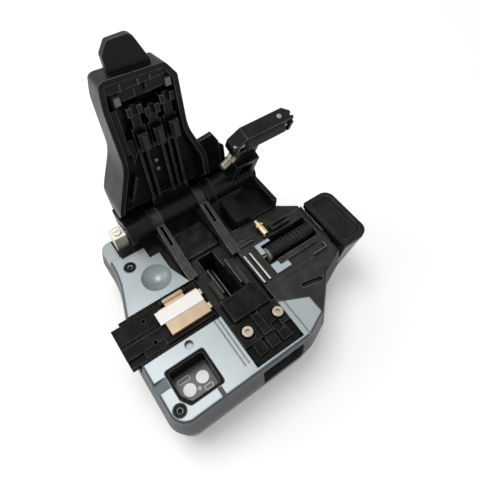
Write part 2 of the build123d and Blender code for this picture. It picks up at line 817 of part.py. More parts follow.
def guide_xs():
    """Places of the two guide rods across the well."""
    return (MECH_X - GUIDE_PITCH / 2, MECH_X + GUIDE_PITCH / 2)


def chassis():
    """Cast block with the blade well, following the outer form at the back."""
    front = box(MECH_LEFT, MECH_RIGHT, MECH_FRONT, RAIL_FRONT, COVER_TOP_Z, CHASSIS_Z)
    rear = FORM & box(RAIL_LEFT, RAIL_RIGHT, RAIL_FRONT, FAR, COVER_TOP_Z, REAR_FLOOR_Z)
    block = front + rear
    half = WELL_W / 2
    block -= box(MECH_X - half, MECH_X + half, WELL_FRONT, WELL_BACK, WELL_FLOOR_Z, FAR)
    for x in guide_xs():
        block -= rod_y(WELL_FRONT - GUIDE_SEAT, WELL_BACK + GUIDE_SEAT, x, GUIDE_Z, GUIDE_R + FIT / 2)
    return block


def hinge_bracket(left):
    """Long rail that rises to the hinge shaft, with a slot along its top."""
    rail_top = DECK_Z + FIT
    crown = DECK_Z + RAIL_CROWN
    points = [
        (RAIL_FRONT + FIT, REAR_FLOOR_Z),
        (RAIL_BACK, REAR_FLOOR_Z),
        (RAIL_BACK, HINGE_Z),
        (RAIL_CROWN_Y, crown),
        (RAIL_TOE, rail_top),
        (RAIL_FRONT + FIT, rail_top),
    ]
    rail = side_prism(points, left, left + RAIL_W)
    rail += rod_x(left, left + RAIL_W, HINGE_Y, HINGE_Z, BOSS_R)
    rail -= rod_x(left - FIT, left + RAIL_W + FIT, HINGE_Y, HINGE_Z, SHAFT_R + BORE)
    middle = left + RAIL_W / 2
    half = RAIL_SLOT_W / 2
    slot_z = DECK_Z + RAIL_CROWN - RAIL_SLOT_DEPTH
    rail -= box(middle - half, middle + half, RAIL_SLOT_FRONT, RAIL_SLOT_BACK, slot_z, FAR)
    return rail


def floor_plate():
    """Plain plate between the two brackets."""
    left = RAIL_LEFT + RAIL_W + FIT
    right = RAIL_RIGHT - RAIL_W - FIT
    top = REAR_FLOOR_Z + FLOOR_PLATE_T
    plate = box(left, right, FLOOR_PLATE_FRONT, FLOOR_PLATE_BACK, REAR_FLOOR_Z, top)
    return chamfer(plate.faces().sort_by(Axis.Z)[-1].edges(), FLOOR_PLATE_T / 4)


def hinge_tray():
    """Black filler under the left end of the hinge."""
    low = DECK_Z - TRAY_DROP - TRAY_T
    return FORM & prism(tray_face(), low, low + TRAY_T)


def hinge_shaft():
    """Steel shaft through the brackets, the lid and the roller arm."""
    return rod_x(STOP_LEFT + STOP_END_T + FIT, EAR_RIGHT, HINGE_Y, HINGE_Z, SHAFT_R)


def stop_block():
    """Square nickel block clamped on the left end of the shaft."""
    half = STOP_SIZE / 2
    low = HINGE_Z - STOP_H / 2
    block = box(STOP_LEFT, STOP_RIGHT, HINGE_Y - half, HINGE_Y + half, low, low + STOP_H)
    block = chamfer(block.edges(), STOP_EDGE)
    return block - rod_x(STOP_LEFT + STOP_END_T, STOP_RIGHT + FIT, HINGE_Y, HINGE_Z, SHAFT_R + BORE)


def stop_screw():
    """Slotted screw on top of the stop block."""
    x = (STOP_LEFT + STOP_RIGHT) / 2
    low = HINGE_Z + STOP_H / 2
    head = rod_z(low, low + STOP_SCREW_H, x, HINGE_Y, STOP_SCREW_R)
    half = STOP_SLOT_W / 2
    return head - box(x - FAR, x + FAR, HINGE_Y - half, HINGE_Y + half, low + STOP_SCREW_H / 2, FAR)


# Blade slider

def guide_rods():
    """Two steel rods along the well that carry the slider."""
    return [
        rod_y(WELL_FRONT - GUIDE_SEAT, WELL_BACK + GUIDE_SEAT, x, GUIDE_Z, GUIDE_R) for x in guide_xs()
    ]


def blade_slider():
    """Carriage on the rods with two cheeks for the blade axle."""
    half = WELL_W / 2 - RUN
    rear, front = BLADE_REST_Y + SLIDER_L / 2, BLADE_REST_Y - SLIDER_L / 2
    body = box(MECH_X - half, MECH_X + half, front, rear, SLIDER_FOOT_Z, SLIDER_STEP_Z)
    cheek_in = BLADE_HUB_W / 2 + FIT
    cheek_top = BLADE_Z + SLIDER_CHEEK_RISE
    near, far = BLADE_REST_Y - SLIDER_CHEEK_L / 2, BLADE_REST_Y + SLIDER_CHEEK_L / 2
    for inner, outer in ((-half, -cheek_in), (cheek_in, half)):
        body += box(MECH_X + inner, MECH_X + outer, near, far, SLIDER_STEP_Z, cheek_top)
    for x in guide_xs():
        body -= rod_y(front - FIT, rear + FIT, x, GUIDE_Z, GUIDE_R + BORE)
    return body - rod_x(MECH_X - WELL_W, MECH_X + WELL_W, BLADE_REST_Y, BLADE_Z, BLADE_AXLE_R + FIT / 2)


def blade_axle():
    """Pin of the blade, held in the slider's cheeks."""
    half = WELL_W / 2 - RUN
    return rod_x(MECH_X - half, MECH_X + half, BLADE_REST_Y, BLADE_Z, BLADE_AXLE_R)


def blade():
    """Round cutter ground to a fine edge, with its hub."""
    half, edge = BLADE_T / 2, BLADE_EDGE_T / 2
    hub = BLADE_HUB_W / 2
    bore = BLADE_AXLE_R + BORE
    shoulder = BLADE_R - BLADE_BEVEL
    right_side = [(hub, bore), (hub, BLADE_HUB_R), (half, BLADE_HUB_R), (half, shoulder), (edge, BLADE_R)]
    left_side = [(-x, y) for x, y in reversed(right_side)]
    disc = revolve(make_face(Polyline(*right_side, *left_side, close=True)), Axis.X)
    return Pos(MECH_X, BLADE_REST_Y, BLADE_Z) * disc


# Lower clamps and front block

def clamp_xs():
    """Left and right clamps stand either side of the blade."""
    return (MECH_X - CLAMP_PITCH / 2, MECH_X + CLAMP_PITCH / 2)


def lower_clamps():
    """Posts that carry the lower pads."""
    half_w = LOWER_PAD_W / 2 + LOWER_POST_RIM
    half_l = LOWER_PAD_L / 2 + LOWER_POST_RIM
    near, far = FIBRE_Y - half_l, FIBRE_Y + half_l
    top = LOWER_PAD_Z - LOWER_PAD_T
    return [box(x - half_w, x + half_w, near, far, CHASSIS_Z, top) for x in clamp_xs()]


def lower_pads():
    """Rubber strips that the fibre lies on."""
    half = LOWER_PAD_W / 2
    near, far = FIBRE_Y - LOWER_PAD_L / 2, FIBRE_Y + LOWER_PAD_L / 2
    low = LOWER_PAD_Z - LOWER_PAD_T
    return [box(x - half, x + half, near, far, low, LOWER_PAD_Z) for x in clamp_xs()]


def blade_guards():
    """Thin upright strips along the well."""
    edge = WELL_W / 2 + GUARD_SET
    top = DECK_Z + GUARD_RISE
    strips = []
    for side in (-1, 1):
        inner = MECH_X + side * edge
        outer = inner + side * GUARD_T
        strips.append(box(min(inner, outer), max(inner, outer), GUARD_FRONT, GUARD_BACK, CHASSIS_Z, top))
    return strips


def front_block():
    """Stepped block in front of the blade, a roof over its parking place."""
    half = BLOCK_W / 2
    low_top = DECK_Z + BLOCK_LOW
    roof = DECK_Z + BLOCK_ROOF
    block = box(MECH_X - half, MECH_X + half, BLOCK_STEP_Y, BLOCK_BACK, CHASSIS_Z, roof)
    block = chamfer(block.faces().sort_by(Axis.Z)[-1].edges(), BLOCK_LOW)
    inner_l, inner_r = MECH_LEFT + FIT, MECH_RIGHT - FIT
    block += box(inner_l, inner_r, NOSE_STEP_Y, BLOCK_STEP_Y, CHASSIS_Z, low_top)
    nose_top = low_top - NOSE_STEP_DROP
    nose = box(inner_l, inner_r, MECH_FRONT + FIT, NOSE_STEP_Y, CHASSIS_Z, nose_top)
    nose_edges = nose.edges().filter_by(Axis.Z).group_by(Axis.Y)[0]
    block += fillet(nose_edges, EDGE_R)
    for step in (-1, 0, 1):
        x = MECH_X + step * BLOCK_W / 3
        left, right = x - NOSE_RIB_W, x + NOSE_RIB_W
        block += box(left, right, MECH_FRONT + EDGE_R, NOSE_STEP_Y, nose_top, low_top - NOSE_RIB_DROP)
    spine = SPINE_W / 2
    block += box(MECH_X - spine, MECH_X + spine, NOSE_STEP_Y, BLOCK_STEP_Y, low_top, low_top + SPINE_RISE)
    x0 = MECH_X + POCKET_X - POCKET_W / 2
    y0 = NOSE_STEP_Y - POCKET_L / 3
    block -= box(x0, x0 + POCKET_W, y0, y0 + POCKET_L, low_top - POCKET_DEPTH, FAR)
    slot = BLADE_SLOT_W / 2
    reach = BLADE_REST_Y - BLADE_R - BLADE_ROOM
    block -= box(MECH_X - slot, MECH_X + slot, reach, FAR, 0, FIBRE_Z + BLADE_OVERLAP + BLADE_ROOM)
    for side in (-1, 1):
        x = CAP_SCREW_X + side * CAP_SCREW_PITCH / 2
        ring_z = low_top - SCREW_RING_DEPTH
        block -= rod_z(ring_z, FAR, x, CAP_SCREW_Y, CAP_SCREW_R + SCREW_RING_W)
        block += rod_z(ring_z - FIT, low_top - CAP_SCREW_SINK, x, CAP_SCREW_Y, CAP_SCREW_R)
    return block


def cap_screws():
    """Bright cap screws that hold the front block."""
    low = DECK_Z + BLOCK_LOW - CAP_SCREW_SINK
    places = [CAP_SCREW_X - CAP_SCREW_PITCH / 2, CAP_SCREW_X + CAP_SCREW_PITCH / 2]
    return [socket_screw(x, CAP_SCREW_Y, low, CAP_SCREW_R, CAP_SCREW_H, CAP_SCREW_SOCKET_R) for x in places]


# Fibre holder

def slot_liner():
    """Black channel that the fibre holder drops into."""
    left = BODY_LEFT + CAVITY_WALL / 2
    right = SLOT_RIGHT - FIT
    front, back = SLOT_FRONT + FIT, SLOT_BACK - FIT
    top = DECK_Z - SLOT_LINER_SINK
    liner = box(left, right, front, back, SLOT_FLOOR_Z, top)
    t = SLOT_LINER_T
    return liner - box(-FAR, right - t, front + t, back - t, SLOT_FLOOR_Z + t, FAR)


def holder_pin_place():
    """Axis of the holder lid's pin, in Y and Z."""
    return HOLDER_BACK - HOLDER_PIN_SET, FIBRE_Z + HOLDER_KNUCKLE_R + RUN


def holder_base():
    """Black holder body with the fibre groove and ears for its lid."""
    right = SLOT_RIGHT - FIT - SLOT_LINER_T - FIT
    low = SLOT_FLOOR_Z + SLOT_LINER_T + FIT
    base = box(HOLDER_LEFT, right, HOLDER_FRONT, HOLDER_BACK, low, FIBRE_Z)
    base = chamfer(base.edges().filter_by(Axis.X), HOLDER_EDGE)
    groove = HOLDER_GROOVE_W / 2
    base -= box(-FAR, FAR, FIBRE_Y - groove, FIBRE_Y + groove, FIBRE_Z - HOLDER_GROOVE_DEPTH, FAR)
    for side in (-1, 1):
        y = FIBRE_Y + side * HOLDER_HOLE_PITCH / 2
        base -= rod_z(FIBRE_Z - HOLDER_HOLE_DEPTH, FAR, HOLDER_HOLE_X, y, HOLDER_HOLE_R)
    rail_back = HOLDER_FRONT + HOLDER_RAIL_W
    base -= box(-FAR, HOLDER_BRIDGE_LEFT, -FAR, rail_back, FIBRE_Z - HOLDER_RAIL_DROP, FAR)
    base -= box(-FAR, HOLDER_RAIL_RIGHT, -FAR, rail_back, FIBRE_Z - HOLDER_BRIDGE_DROP, FAR)
    pin_y, pin_z = holder_pin_place()
    ear = HOLDER_KNUCKLE_R
    for x in (HOLDER_TAB_LEFT - RUN - HOLDER_EAR_W, HOLDER_TAB_RIGHT + RUN):
        post = box(x, x + HOLDER_EAR_W, pin_y - ear, pin_y + ear, FIBRE_Z - RUN, pin_z)
        base += post + rod_x(x, x + HOLDER_EAR_W, pin_y, pin_z, ear)
    left, right = HOLDER_TAB_LEFT - SLOT_W, HOLDER_TAB_RIGHT + SLOT_W
    return base - rod_x(left, right, pin_y, pin_z, HOLDER_PIN_R + BORE)


def holder_pin():
    """Pin through the holder's ears."""
    pin_y, pin_z = holder_pin_place()
    reach = RUN + HOLDER_EAR_W
    return rod_x(HOLDER_TAB_LEFT - reach, HOLDER_TAB_RIGHT + reach, pin_y, pin_z, HOLDER_PIN_R)


def holder_lid():
    """Copper coloured clamping lid with its knuckle."""
    pin_y, pin_z = holder_pin_place()
    low = FIBRE_Z + FIT
    top = low + HOLDER_LID_T
    front = HOLDER_FRONT + HOLDER_LID_SET
    behind = pin_y - HOLDER_KNUCKLE_R * 2
    lid = box(HOLDER_LID_LEFT, HOLDER_LID_RIGHT, front, behind, low, top)
    lid += box(HOLDER_TAB_LEFT, HOLDER_TAB_RIGHT, behind, pin_y, pin_z - HOLDER_KNUCKLE_R, top)
    lid += rod_x(HOLDER_TAB_LEFT, HOLDER_TAB_RIGHT, pin_y, pin_z, HOLDER_KNUCKLE_R)
    return lid - rod_x(HOLDER_LID_LEFT, HOLDER_LID_RIGHT, pin_y, pin_z, HOLDER_PIN_R + BORE)


def holder_strip():
    """Pale blank strip on the holder lid."""
    low = FIBRE_Z + FIT + HOLDER_LID_T
    front, back = FIBRE_Y - HOLDER_STRIP_FRONT, FIBRE_Y + HOLDER_STRIP_BACK
    return box(HOLDER_STRIP_LEFT, HOLDER_LID_RIGHT, front, back, low, low + HOLDER_STRIP_T)


# Lid

LID_CORNERS = [
    (LID_LEFT + LID_FRONT_SET, LID_FRONT, LID_CORNER_R),
    (LID_RIGHT - LID_SHOULDER_X, LID_FRONT - LID_SHOULDER_TOP, LID_CORNER_R),
    (LID_RIGHT, LID_FRONT - LID_SHOULDER_FOOT, LID_CORNER_R),
    (LID_RIGHT, LID_WAIST_RIGHT, LID_WAIST_R),
    (LID_FLARE_RIGHT, LID_FLARE_START_RIGHT, LID_FLARE_R),
    (LID_FLARE_RIGHT, -LID_TAIL, LID_CORNER_R),
    (LID_FLARE_LEFT, -LID_TAIL, LID_CORNER_R),
    (LID_FLARE_LEFT, LID_FLARE_START_LEFT, LID_FLARE_R),
    (LID_LEFT, LID_WAIST_LEFT, LID_WAIST_R),
    (LID_LEFT, LID_SIDE_LEFT, LID_WAIST_R),
]


def lid_plan():
    """Plan of the lid, waisted in the middle and flared at the hinge."""
    return outline([(x, HINGE_Y - reach, r) for x, reach, r in LID_CORNERS])


def lid_profile(drop):
    """Side view of the lid's top, lowered by drop, open below."""
    middle = (LID_CREST_REACH + LID_BROW_REACH) / 2
    crest = [
        (-LID_TAIL - LID_WALL, LID_CREST - LID_TAIL_FALL),
        (0.0, LID_CREST - LID_BACK_FALL),
        (LID_CREST_REACH, LID_CREST),
        (middle, (LID_CREST + LID_BROW) / 2 + LID_BULGE),
        (LID_BROW_REACH, LID_BROW),
        (LID_FRONT + LID_WALL, LID_BROW - LID_TAIL_FALL),
    ]
    return Spline(*[(HINGE_Y - reach, HINGE_Z + rise - drop) for reach, rise in crest])


def lid_block(plan, drop, low):
    """Solid under the lid's top surface, inside a plan outline."""
    top = lid_profile(drop)
    back, front = top @ 0, top @ 1
    base_z = HINGE_Z + low
    path = top + Polyline(front, (front.X, base_z), (back.X, base_z), back)
    side = extrude(make_face(Plane.YZ * path), amount=FAR, both=True)
    return prism(plan, HINGE_Z + LID_RIM - LID_WALL, HINGE_Z + LID_CREST + LID_WALL, taper=LID_DRAFT) & side


def lid_shell():
    """Curved outer shell with the finger tab and the outer knuckles."""
    plan = lid_plan()
    inside = lid_block(offset(plan, amount=-LID_WALL), LID_WALL, LID_RIM - LID_WALL)
    shell = lid_block(plan, 0, LID_RIM) - inside
    rear_cut = [
        (HINGE_Y - LID_CREST_REACH, HINGE_Z + LID_RIM - LID_WALL),
        (HINGE_Y - LID_CREST_REACH, HINGE_Z + LID_RIM),
        (HINGE_Y - KNUCKLE_R, HINGE_Z + BARREL_R),
        (HINGE_Y + LID_TAIL * 2, HINGE_Z + LID_TAIL_RISE),
        (HINGE_Y + LID_TAIL * 2, HINGE_Z + LID_RIM - LID_WALL),
    ]
    shell -= side_prism(rear_cut, -FAR / 2, FAR / 2)
    for left, right in lid_knuckles():
        shell += rod_x(left, right, HINGE_Y, HINGE_Z, KNUCKLE_R)
        shell += swing_box(left, right, -BARREL_R, BARREL_R, 0, LID_CREST - LID_WALL - KNUCKLE_WEB_DROP)
    tab = [
        (TAB_LEFT, LID_FRONT - LID_WALL, 0),
        (TAB_LEFT, TAB_REACH - TAB_CUT_Y, TAB_R),
        (TAB_LEFT + TAB_CUT_X, TAB_REACH, TAB_R),
        (TAB_RIGHT - TAB_SLOPE_X, TAB_REACH, TAB_R * 2),
        (TAB_RIGHT, LID_FRONT, TAB_R),
        (TAB_RIGHT, LID_FRONT - LID_WALL * 1.5, 0),
    ]
    face = outline([(x, HINGE_Y - reach, r) for x, reach, r in tab])
    shell += prism(face, HINGE_Z - TAB_T / 2, HINGE_Z + TAB_T / 2)
    lug = [
        (LID_FLARE_RIGHT - LID_WALL, LUG_BACK),
        (LUG_RIGHT, LUG_BACK),
        (LUG_RIGHT, LUG_FRONT - LUG_CUT),
        (LUG_RIGHT - LUG_CUT / 2, LUG_FRONT),
        (LID_FLARE_RIGHT - LID_WALL, LUG_FRONT - LUG_CUT / 4),
    ]
    face = make_face(Polyline(*[(x, HINGE_Y - reach) for x, reach in lug], close=True))
    shell += prism(face, HINGE_Z + LUG_RISE, HINGE_Z + LUG_RISE + LUG_T)
    return shell - rod_x(-FAR / 2, FAR / 2, HINGE_Y, HINGE_Z, SHAFT_R + BORE)


def lid_knuckles():
    """X spans of the shell's two knuckles, outside the brackets."""
    left = (LID_FLARE_LEFT, RAIL_LEFT - RUN)
    right = (RAIL_RIGHT + RUN, LID_FLARE_RIGHT)
    return (left, right)


def lid_lean(rise):
    """How far the lid's drafted walls have leaned in at a rise."""
    return (rise - LID_RIM + LID_WALL) * tan(radians(LID_DRAFT))


def inner_plan(rise, inset):
    """Plan of the room inside the lid's walls at a rise, drawn in by an inset."""
    return offset(lid_plan(), amount=-LID_WALL - FIT - lid_lean(rise) - inset)


def lid_web(points, low):
    """An upright web under the lid's frame from (x, reach) points."""
    face = make_face(Polyline(*[(x, HINGE_Y - reach) for x, reach in points], close=True))
    return prism(face, HINGE_Z + low, HINGE_Z + LID_FRAME_RISE)


def lid_frame():
    """Inner frame: barrel on the shaft, plate, lengthwise ribs and a ledge inside the left wall."""
    low, top = LID_FRAME_RISE, LID_FRAME_RISE + LID_FRAME_T
    plate = prism(inner_plan(top, 0), HINGE_Z + low, HINGE_Z + top)
    plate &= swing_box(-FAR / 2, FAR / 2, LID_FRAME_BACK, LID_FRAME_FRONT, low, top)
    left = RAIL_LEFT + RAIL_W + RUN
    right = RAIL_RIGHT - RAIL_W - RUN
    frame = plate + rod_x(left, right, HINGE_Y, HINGE_Z, BARREL_R)
    frame += swing_box(left, right, 0, LID_FRAME_BACK + LID_FRAME_T, LID_FRAME_T, top)
    for shift in RIB_SPREAD:
        x = MECH_X + shift
        frame += swing_box(x - RIB_W / 2, x + RIB_W / 2, RIB_BACK, RIB_FRONT, low - RIB_DEPTH, low)
    ledge = prism(inner_plan(low, 0) - inner_plan(low, LEDGE_W), HINGE_Z + LEDGE_LOW, HINGE_Z + low)
    frame += ledge & swing_box(-FAR / 2, MECH_X, LEDGE_BACK, LID_BAR_BACK - FIT, LEDGE_LOW, low)
    spike_right = clamp_xs()[0] - GUIDE_BLOCK_W / 2 - FIT
    spike_left = spike_right - SPIKE_W
    spike = [
        (spike_left, SPIKE_FRONT),
        (spike_right, SPIKE_FRONT),
        (spike_right, SPIKE_BEND),
        (spike_left, SPIKE_BACK),
    ]
    frame += lid_web(spike, SPIKE_LOW)
    (x0, reach0), (x1, reach1) = GUSSET
    frame += lid_web([(x0, reach0), (x0 + GUSSET_W, reach0), (x1 + GUSSET_W, reach1), (x1, reach1)], 0)
    return frame - rod_x(left - FIT, right + FIT, HINGE_Y, HINGE_Z, SHAFT_R + BORE)


def lid_inner_sides():
    """Left and right X limits inside the lid's ledge and walls, where the clips stand."""
    lean = lid_lean(LID_FRAME_RISE)
    return LID_LEFT + LID_WALL + lean + LEDGE_W + 2 * FIT, LID_RIGHT - LID_WALL - lean - 2 * FIT


def lid_bar():
    """Front band of the lid with dividers, and the stepped blocks behind it."""
    clip_left, clip_right = lid_inner_sides()
    left, right = clip_left + CLIP_T + FIT, clip_right - CLIP_T - FIT
    top = LID_FRAME_RISE
    bar = swing_box(left, right, LID_BAR_BACK, LID_BAR_FRONT, top - LID_BAR_DEPTH, top)
    near, far = LID_BAR_BACK - FIT, LID_BAR_FRONT
    notch_top = top - LID_BAR_DEPTH + LID_BAR_NOTCH_DEPTH
    bar -= swing_box(MECH_X - LID_BAR_NOTCH_W, MECH_X, near, far, -FAR, notch_top)
    step = LID_BAR_BACK + LID_BAR_L / 3
    bar -= swing_box(left - FIT, right + FIT, near, step, -FAR, top - LID_BAR_DEPTH / 2)
    band_low = LID_RIM + BAND_SINK
    band = swing_box(-FAR / 2, FAR / 2, LID_BAR_FRONT, FAR / 2, band_low, top)
    half = DIVIDER_W / 2
    for x in DIVIDER_XS:
        band += swing_box(x - half, x + half, LID_BAR_FRONT, FAR / 2, LID_RIM, band_low)
    return bar + (band & prism(inner_plan(top, 0), HINGE_Z + LID_RIM, HINGE_Z + top))


def lid_clips():
    """Pale wedge clips between the lid's sides and its front bar."""
    low = LID_FRAME_RISE - CLIP_DEPTH
    back, front = LID_BAR_BACK, LID_BAR_BACK + CLIP_L
    points = [
        (HINGE_Y - back, HINGE_Z + LID_FRAME_RISE),
        (HINGE_Y - front, HINGE_Z + LID_FRAME_RISE),
        (HINGE_Y - front, HINGE_Z + low),
        (HINGE_Y - back - CLIP_SLOPE, HINGE_Z + low),
    ]
    left, right = lid_inner_sides()
    return [side_prism(points, x, x + CLIP_T) for x in (left, right - CLIP_T)]


def lid_rivets():
    """Two bright rivet heads in the lid's central channel."""
    top = HINGE_Z + LID_FRAME_RISE
    return [rod_z(top - RIVET_H, top, RIVET_X, HINGE_Y - reach, RIVET_R) for reach in RIVET_REACH]


PAD_FACE = FIBRE_RISE - FIT + PAD_GAP - HINGE_RISE  # rise of the upper pads' faces
BLOCK_FOOT = PAD_FACE + UPPER_PAD_T
BLOCK_TOP = LID_FRAME_RISE - CLAMP_TRAVEL - CLAMP_ROOM


def upper_block(x, width):
    """Sliding block of an upper clamp or of the anvil."""
    near, far = CLAMP_REACH - UPPER_BLOCK_L / 2, CLAMP_REACH + UPPER_BLOCK_L / 2
    return swing_box(x - width / 2, x + width / 2, near, far, BLOCK_FOOT, BLOCK_TOP)


def upper_pad(x, width):
    """Pad under an upper block."""
    near, far = CLAMP_REACH - UPPER_PAD_L / 2, CLAMP_REACH + UPPER_PAD_L / 2
    return swing_box(x - width / 2, x + width / 2, near, far, PAD_FACE, BLOCK_FOOT)


def clamp_guides():
    """Open boxes under the lid frame that guide the clamps and the anvil, each with a notched head."""
    guides = []
    half_w, half_l = GUIDE_BLOCK_W / 2, GUIDE_BLOCK_L / 2
    slot_l = UPPER_BLOCK_L / 2 + RUN
    slot_w = UPPER_BLOCK_W / 2 + RUN
    low = LID_FRAME_RISE - GUIDE_BLOCK_H
    for x in (clamp_xs()[0], MECH_X, clamp_xs()[1]):
        near, far = CLAMP_REACH - half_l, CLAMP_REACH + half_l
        guide = swing_box(x - half_w, x + half_w, near, far, low, LID_FRAME_RISE)
        near, far = CLAMP_REACH - slot_l, CLAMP_REACH + slot_l
        guide -= swing_box(x - slot_w, x + slot_w, near, far, -FAR, FAR)
        front = HEAD_FRONT - (HEAD_STAGGER if x == MECH_X else 0)
        guides.append(guide + guide_head(x, front))
    return guides


def guide_head(x, front):
    """T shaped head in front of a clamp guide, with a notch across its cap."""
    neck, cap, notch = HEAD_NECK_W / 2, HEAD_W / 2, HEAD_NOTCH_W / 2
    cap_back = front - HEAD_CAP_L
    head = swing_box(x - neck, x + neck, HEAD_BACK, cap_back, HEAD_LOW + HEAD_NECK_DROP, LID_FRAME_RISE)
    head += swing_box(x - cap, x + cap, cap_back, front, HEAD_LOW, LID_FRAME_RISE)
    return head - swing_box(x - notch, x + notch, cap_back, FAR / 2, -FAR, HEAD_LOW + HEAD_NOTCH_DEPTH)


# Side housing and scrap collector

def side_housing():
    """Black body on the right that carries the collector, the gear housing and the bin."""
    housing = FORM & side_zone(FIT)
    floor = DECK_Z - COLLECTOR_DEPTH
    seat = box(-FAR, COLLECTOR_RIGHT + FIT, COLLECTOR_FRONT - FIT, COLLECTOR_BACK + FIT, floor, FAR)
    housing -= fillet(front_right_edge(seat), COLLAR_R + FIT)
    housing -= box(-FAR, FAR, GEAR_FRONT - FIT, FAR, DECK_Z - REAR_DROP, FAR)
    for y in TONGUE_YS:
        half_w = TONGUE_W / 2 + RUN
        low, top = TONGUE_Z - RUN, TONGUE_Z + TONGUE_H + RUN
        housing -= box(BIN_LEFT - TONGUE_L - RUN * 2, FAR, y - half_w, y + half_w, low, top)
    slot = prism(SlotOverall(FLANK_SLOT_L, FLANK_SLOT_W), DECK_Z - FLANK_SLOT_DEPTH, FAR)
    return housing - Pos(*FLANK_SLOT, 0) * Rot(0, 0, FLANK_SLOT_TURN) * slot


def front_right_edge(block):
    """Upright edge of a block at its front right corner."""
    return block.edges().filter_by(Axis.Z).group_by(Axis.X)[-1].sort_by(Axis.Y)[0]


def collector_frame():
    """Frame round the roller's mouth, with grooves for the two rods."""
    floor = DECK_Z - COLLECTOR_DEPTH
    left, middle = COLLECTOR_LEFT, COLLECTOR_REAR_LEFT
    frame = box(middle, COLLECTOR_RIGHT, COLLECTOR_FRONT, COLLECTOR_BACK, floor, COLLECTOR_Z)
    frame = fillet(front_right_edge(frame), COLLAR_R)
    frame += box(left, middle, COLLECTOR_FRONT, COLLECTOR_NOTCH_Y, floor, COLLECTOR_Z)
    bed = floor + COLLECTOR_FLOOR_T
    frame -= box(MOUTH_LEFT, MOUTH_RIGHT, MOUTH_FRONT, MOUTH_BACK, bed, FAR)
    ridge = MOUTH_FRONT - RIDGE_SET
    top = COLLECTOR_Z + RIDGE_H
    frame += box(RIDGE_LEFT, RIDGE_RIGHT, ridge - RIDGE_W, ridge, COLLECTOR_Z, top)
    seat = ROLLER_SHAFT_SEAT + ROLLER_SHAFT_PLAY
    frame -= rod_x(MOUTH_LEFT - seat, MOUTH_RIGHT + seat, ROLLER_Y, ROLLER_Z, ROLLER_SHAFT_R + BORE)
    for x in ROD_XS:
        frame -= rod_y(ROD_FRONT - FIT, ROD_BACK + FIT, x, rod_z_centre(), ROD_R + BORE)
    return frame


def rod_z_centre():
    """Height of the steel rods, sunk in the frame's top."""
    return COLLECTOR_Z + ROD_R - ROD_SINK


def steel_rods():
    """Two bright rods that the fibre passes over."""
    return [rod_y(ROD_FRONT, ROD_BACK, x, rod_z_centre(), ROD_R) for x in ROD_XS]


def grooved_roller():
    """Lower roller with rings cut at an even pitch."""
    roller = rod_x(ROLLER_LEFT, ROLLER_RIGHT, ROLLER_Y, ROLLER_Z, ROLLER_R)
    x = ROLLER_LEFT + ROLLER_PITCH
    half = ROLLER_GROOVE_W / 2
    while x < ROLLER_RIGHT - ROLLER_GROOVE_W:
        ring = rod_x(x - half, x + half, ROLLER_Y, ROLLER_Z, ROLLER_R + FIT)
        roller -= ring - rod_x(x - half, x + half, ROLLER_Y, ROLLER_Z, ROLLER_R - ROLLER_GROOVE_DEPTH)
        x += ROLLER_PITCH
    return roller - rod_x(MOUTH_LEFT, MOUTH_RIGHT, ROLLER_Y, ROLLER_Z, ROLLER_SHAFT_R + BORE / 2)


def roller_shaft():
    """Shaft that turns with the grooved roller in the frame's ends."""
    seat = ROLLER_SHAFT_SEAT
    return rod_x(MOUTH_LEFT - seat, MOUTH_RIGHT + seat, ROLLER_Y, ROLLER_Z, ROLLER_SHAFT_R)


def roller_disc():
    """Beige disc at the left end of the roller."""
    right = ROLLER_LEFT - FIT
    disc = rod_x(right - END_DISC_T, right, ROLLER_Y, ROLLER_Z, END_DISC_R)
    return disc - rod_x(MOUTH_LEFT, MOUTH_RIGHT, ROLLER_Y, ROLLER_Z, ROLLER_SHAFT_R + BORE / 2)


def pale_plates():
    """Two pale L plates, one in the mouth's left corner and one on the frame in front of it."""
    edge = MOUTH_LEFT + FIT
    back = MOUTH_BACK - FIT
    z = COLLECTOR_Z - ROLLER_SHAFT_R
    width = ROLLER_LEFT - FIT - END_DISC_T - PALE_GAP - edge
    inner = box(edge, edge + PALE_L, back - PALE_W, back, z, z + PALE_T)
    inner += box(edge, edge + width, ROLLER_Y, back, z, z + PALE_T)
    middle = PALE_FRONT + PALE_STEP
    outer = box(edge, edge + PALE_L, PALE_FRONT, middle, COLLECTOR_Z, COLLECTOR_Z + PALE_T)
    outer += box(edge, edge + PALE_L / 2, middle, PALE_BACK, COLLECTOR_Z, COLLECTOR_Z + PALE_T)
    return [inner, outer]


def brass_bush():
    """Flanged brass bush behind the roller's mouth, with a thinner neck at its back."""
    z = COLLECTOR_Z + BUSH_FLANGE_R
    bush = rod_y(BUSH_FRONT, BUSH_NECK_Y, BUSH_X, z, BUSH_R)
    bush += rod_y(BUSH_FLANGE_Y, BUSH_FLANGE_Y + BUSH_FLANGE_T, BUSH_X, z, BUSH_FLANGE_R)
    return bush + rod_y(BUSH_NECK_Y, BUSH_BACK, BUSH_X, z, BUSH_NECK_R)


def slotted_fork():
    """Black fork with a long slot, behind the roller's mouth."""
    fork = box(FORK_LEFT, FORK_RIGHT, FORK_FRONT, FORK_BACK, COLLECTOR_Z, COLLECTOR_Z + FORK_H)
    middle = (FORK_FRONT + FORK_BACK) / 2
    half = FORK_SLOT_W / 2
    floor = COLLECTOR_Z + FORK_FLOOR_T
    return fork - box(FORK_LEFT + FORK_SLOT_W, FAR, middle - half, middle + half, floor, FAR)


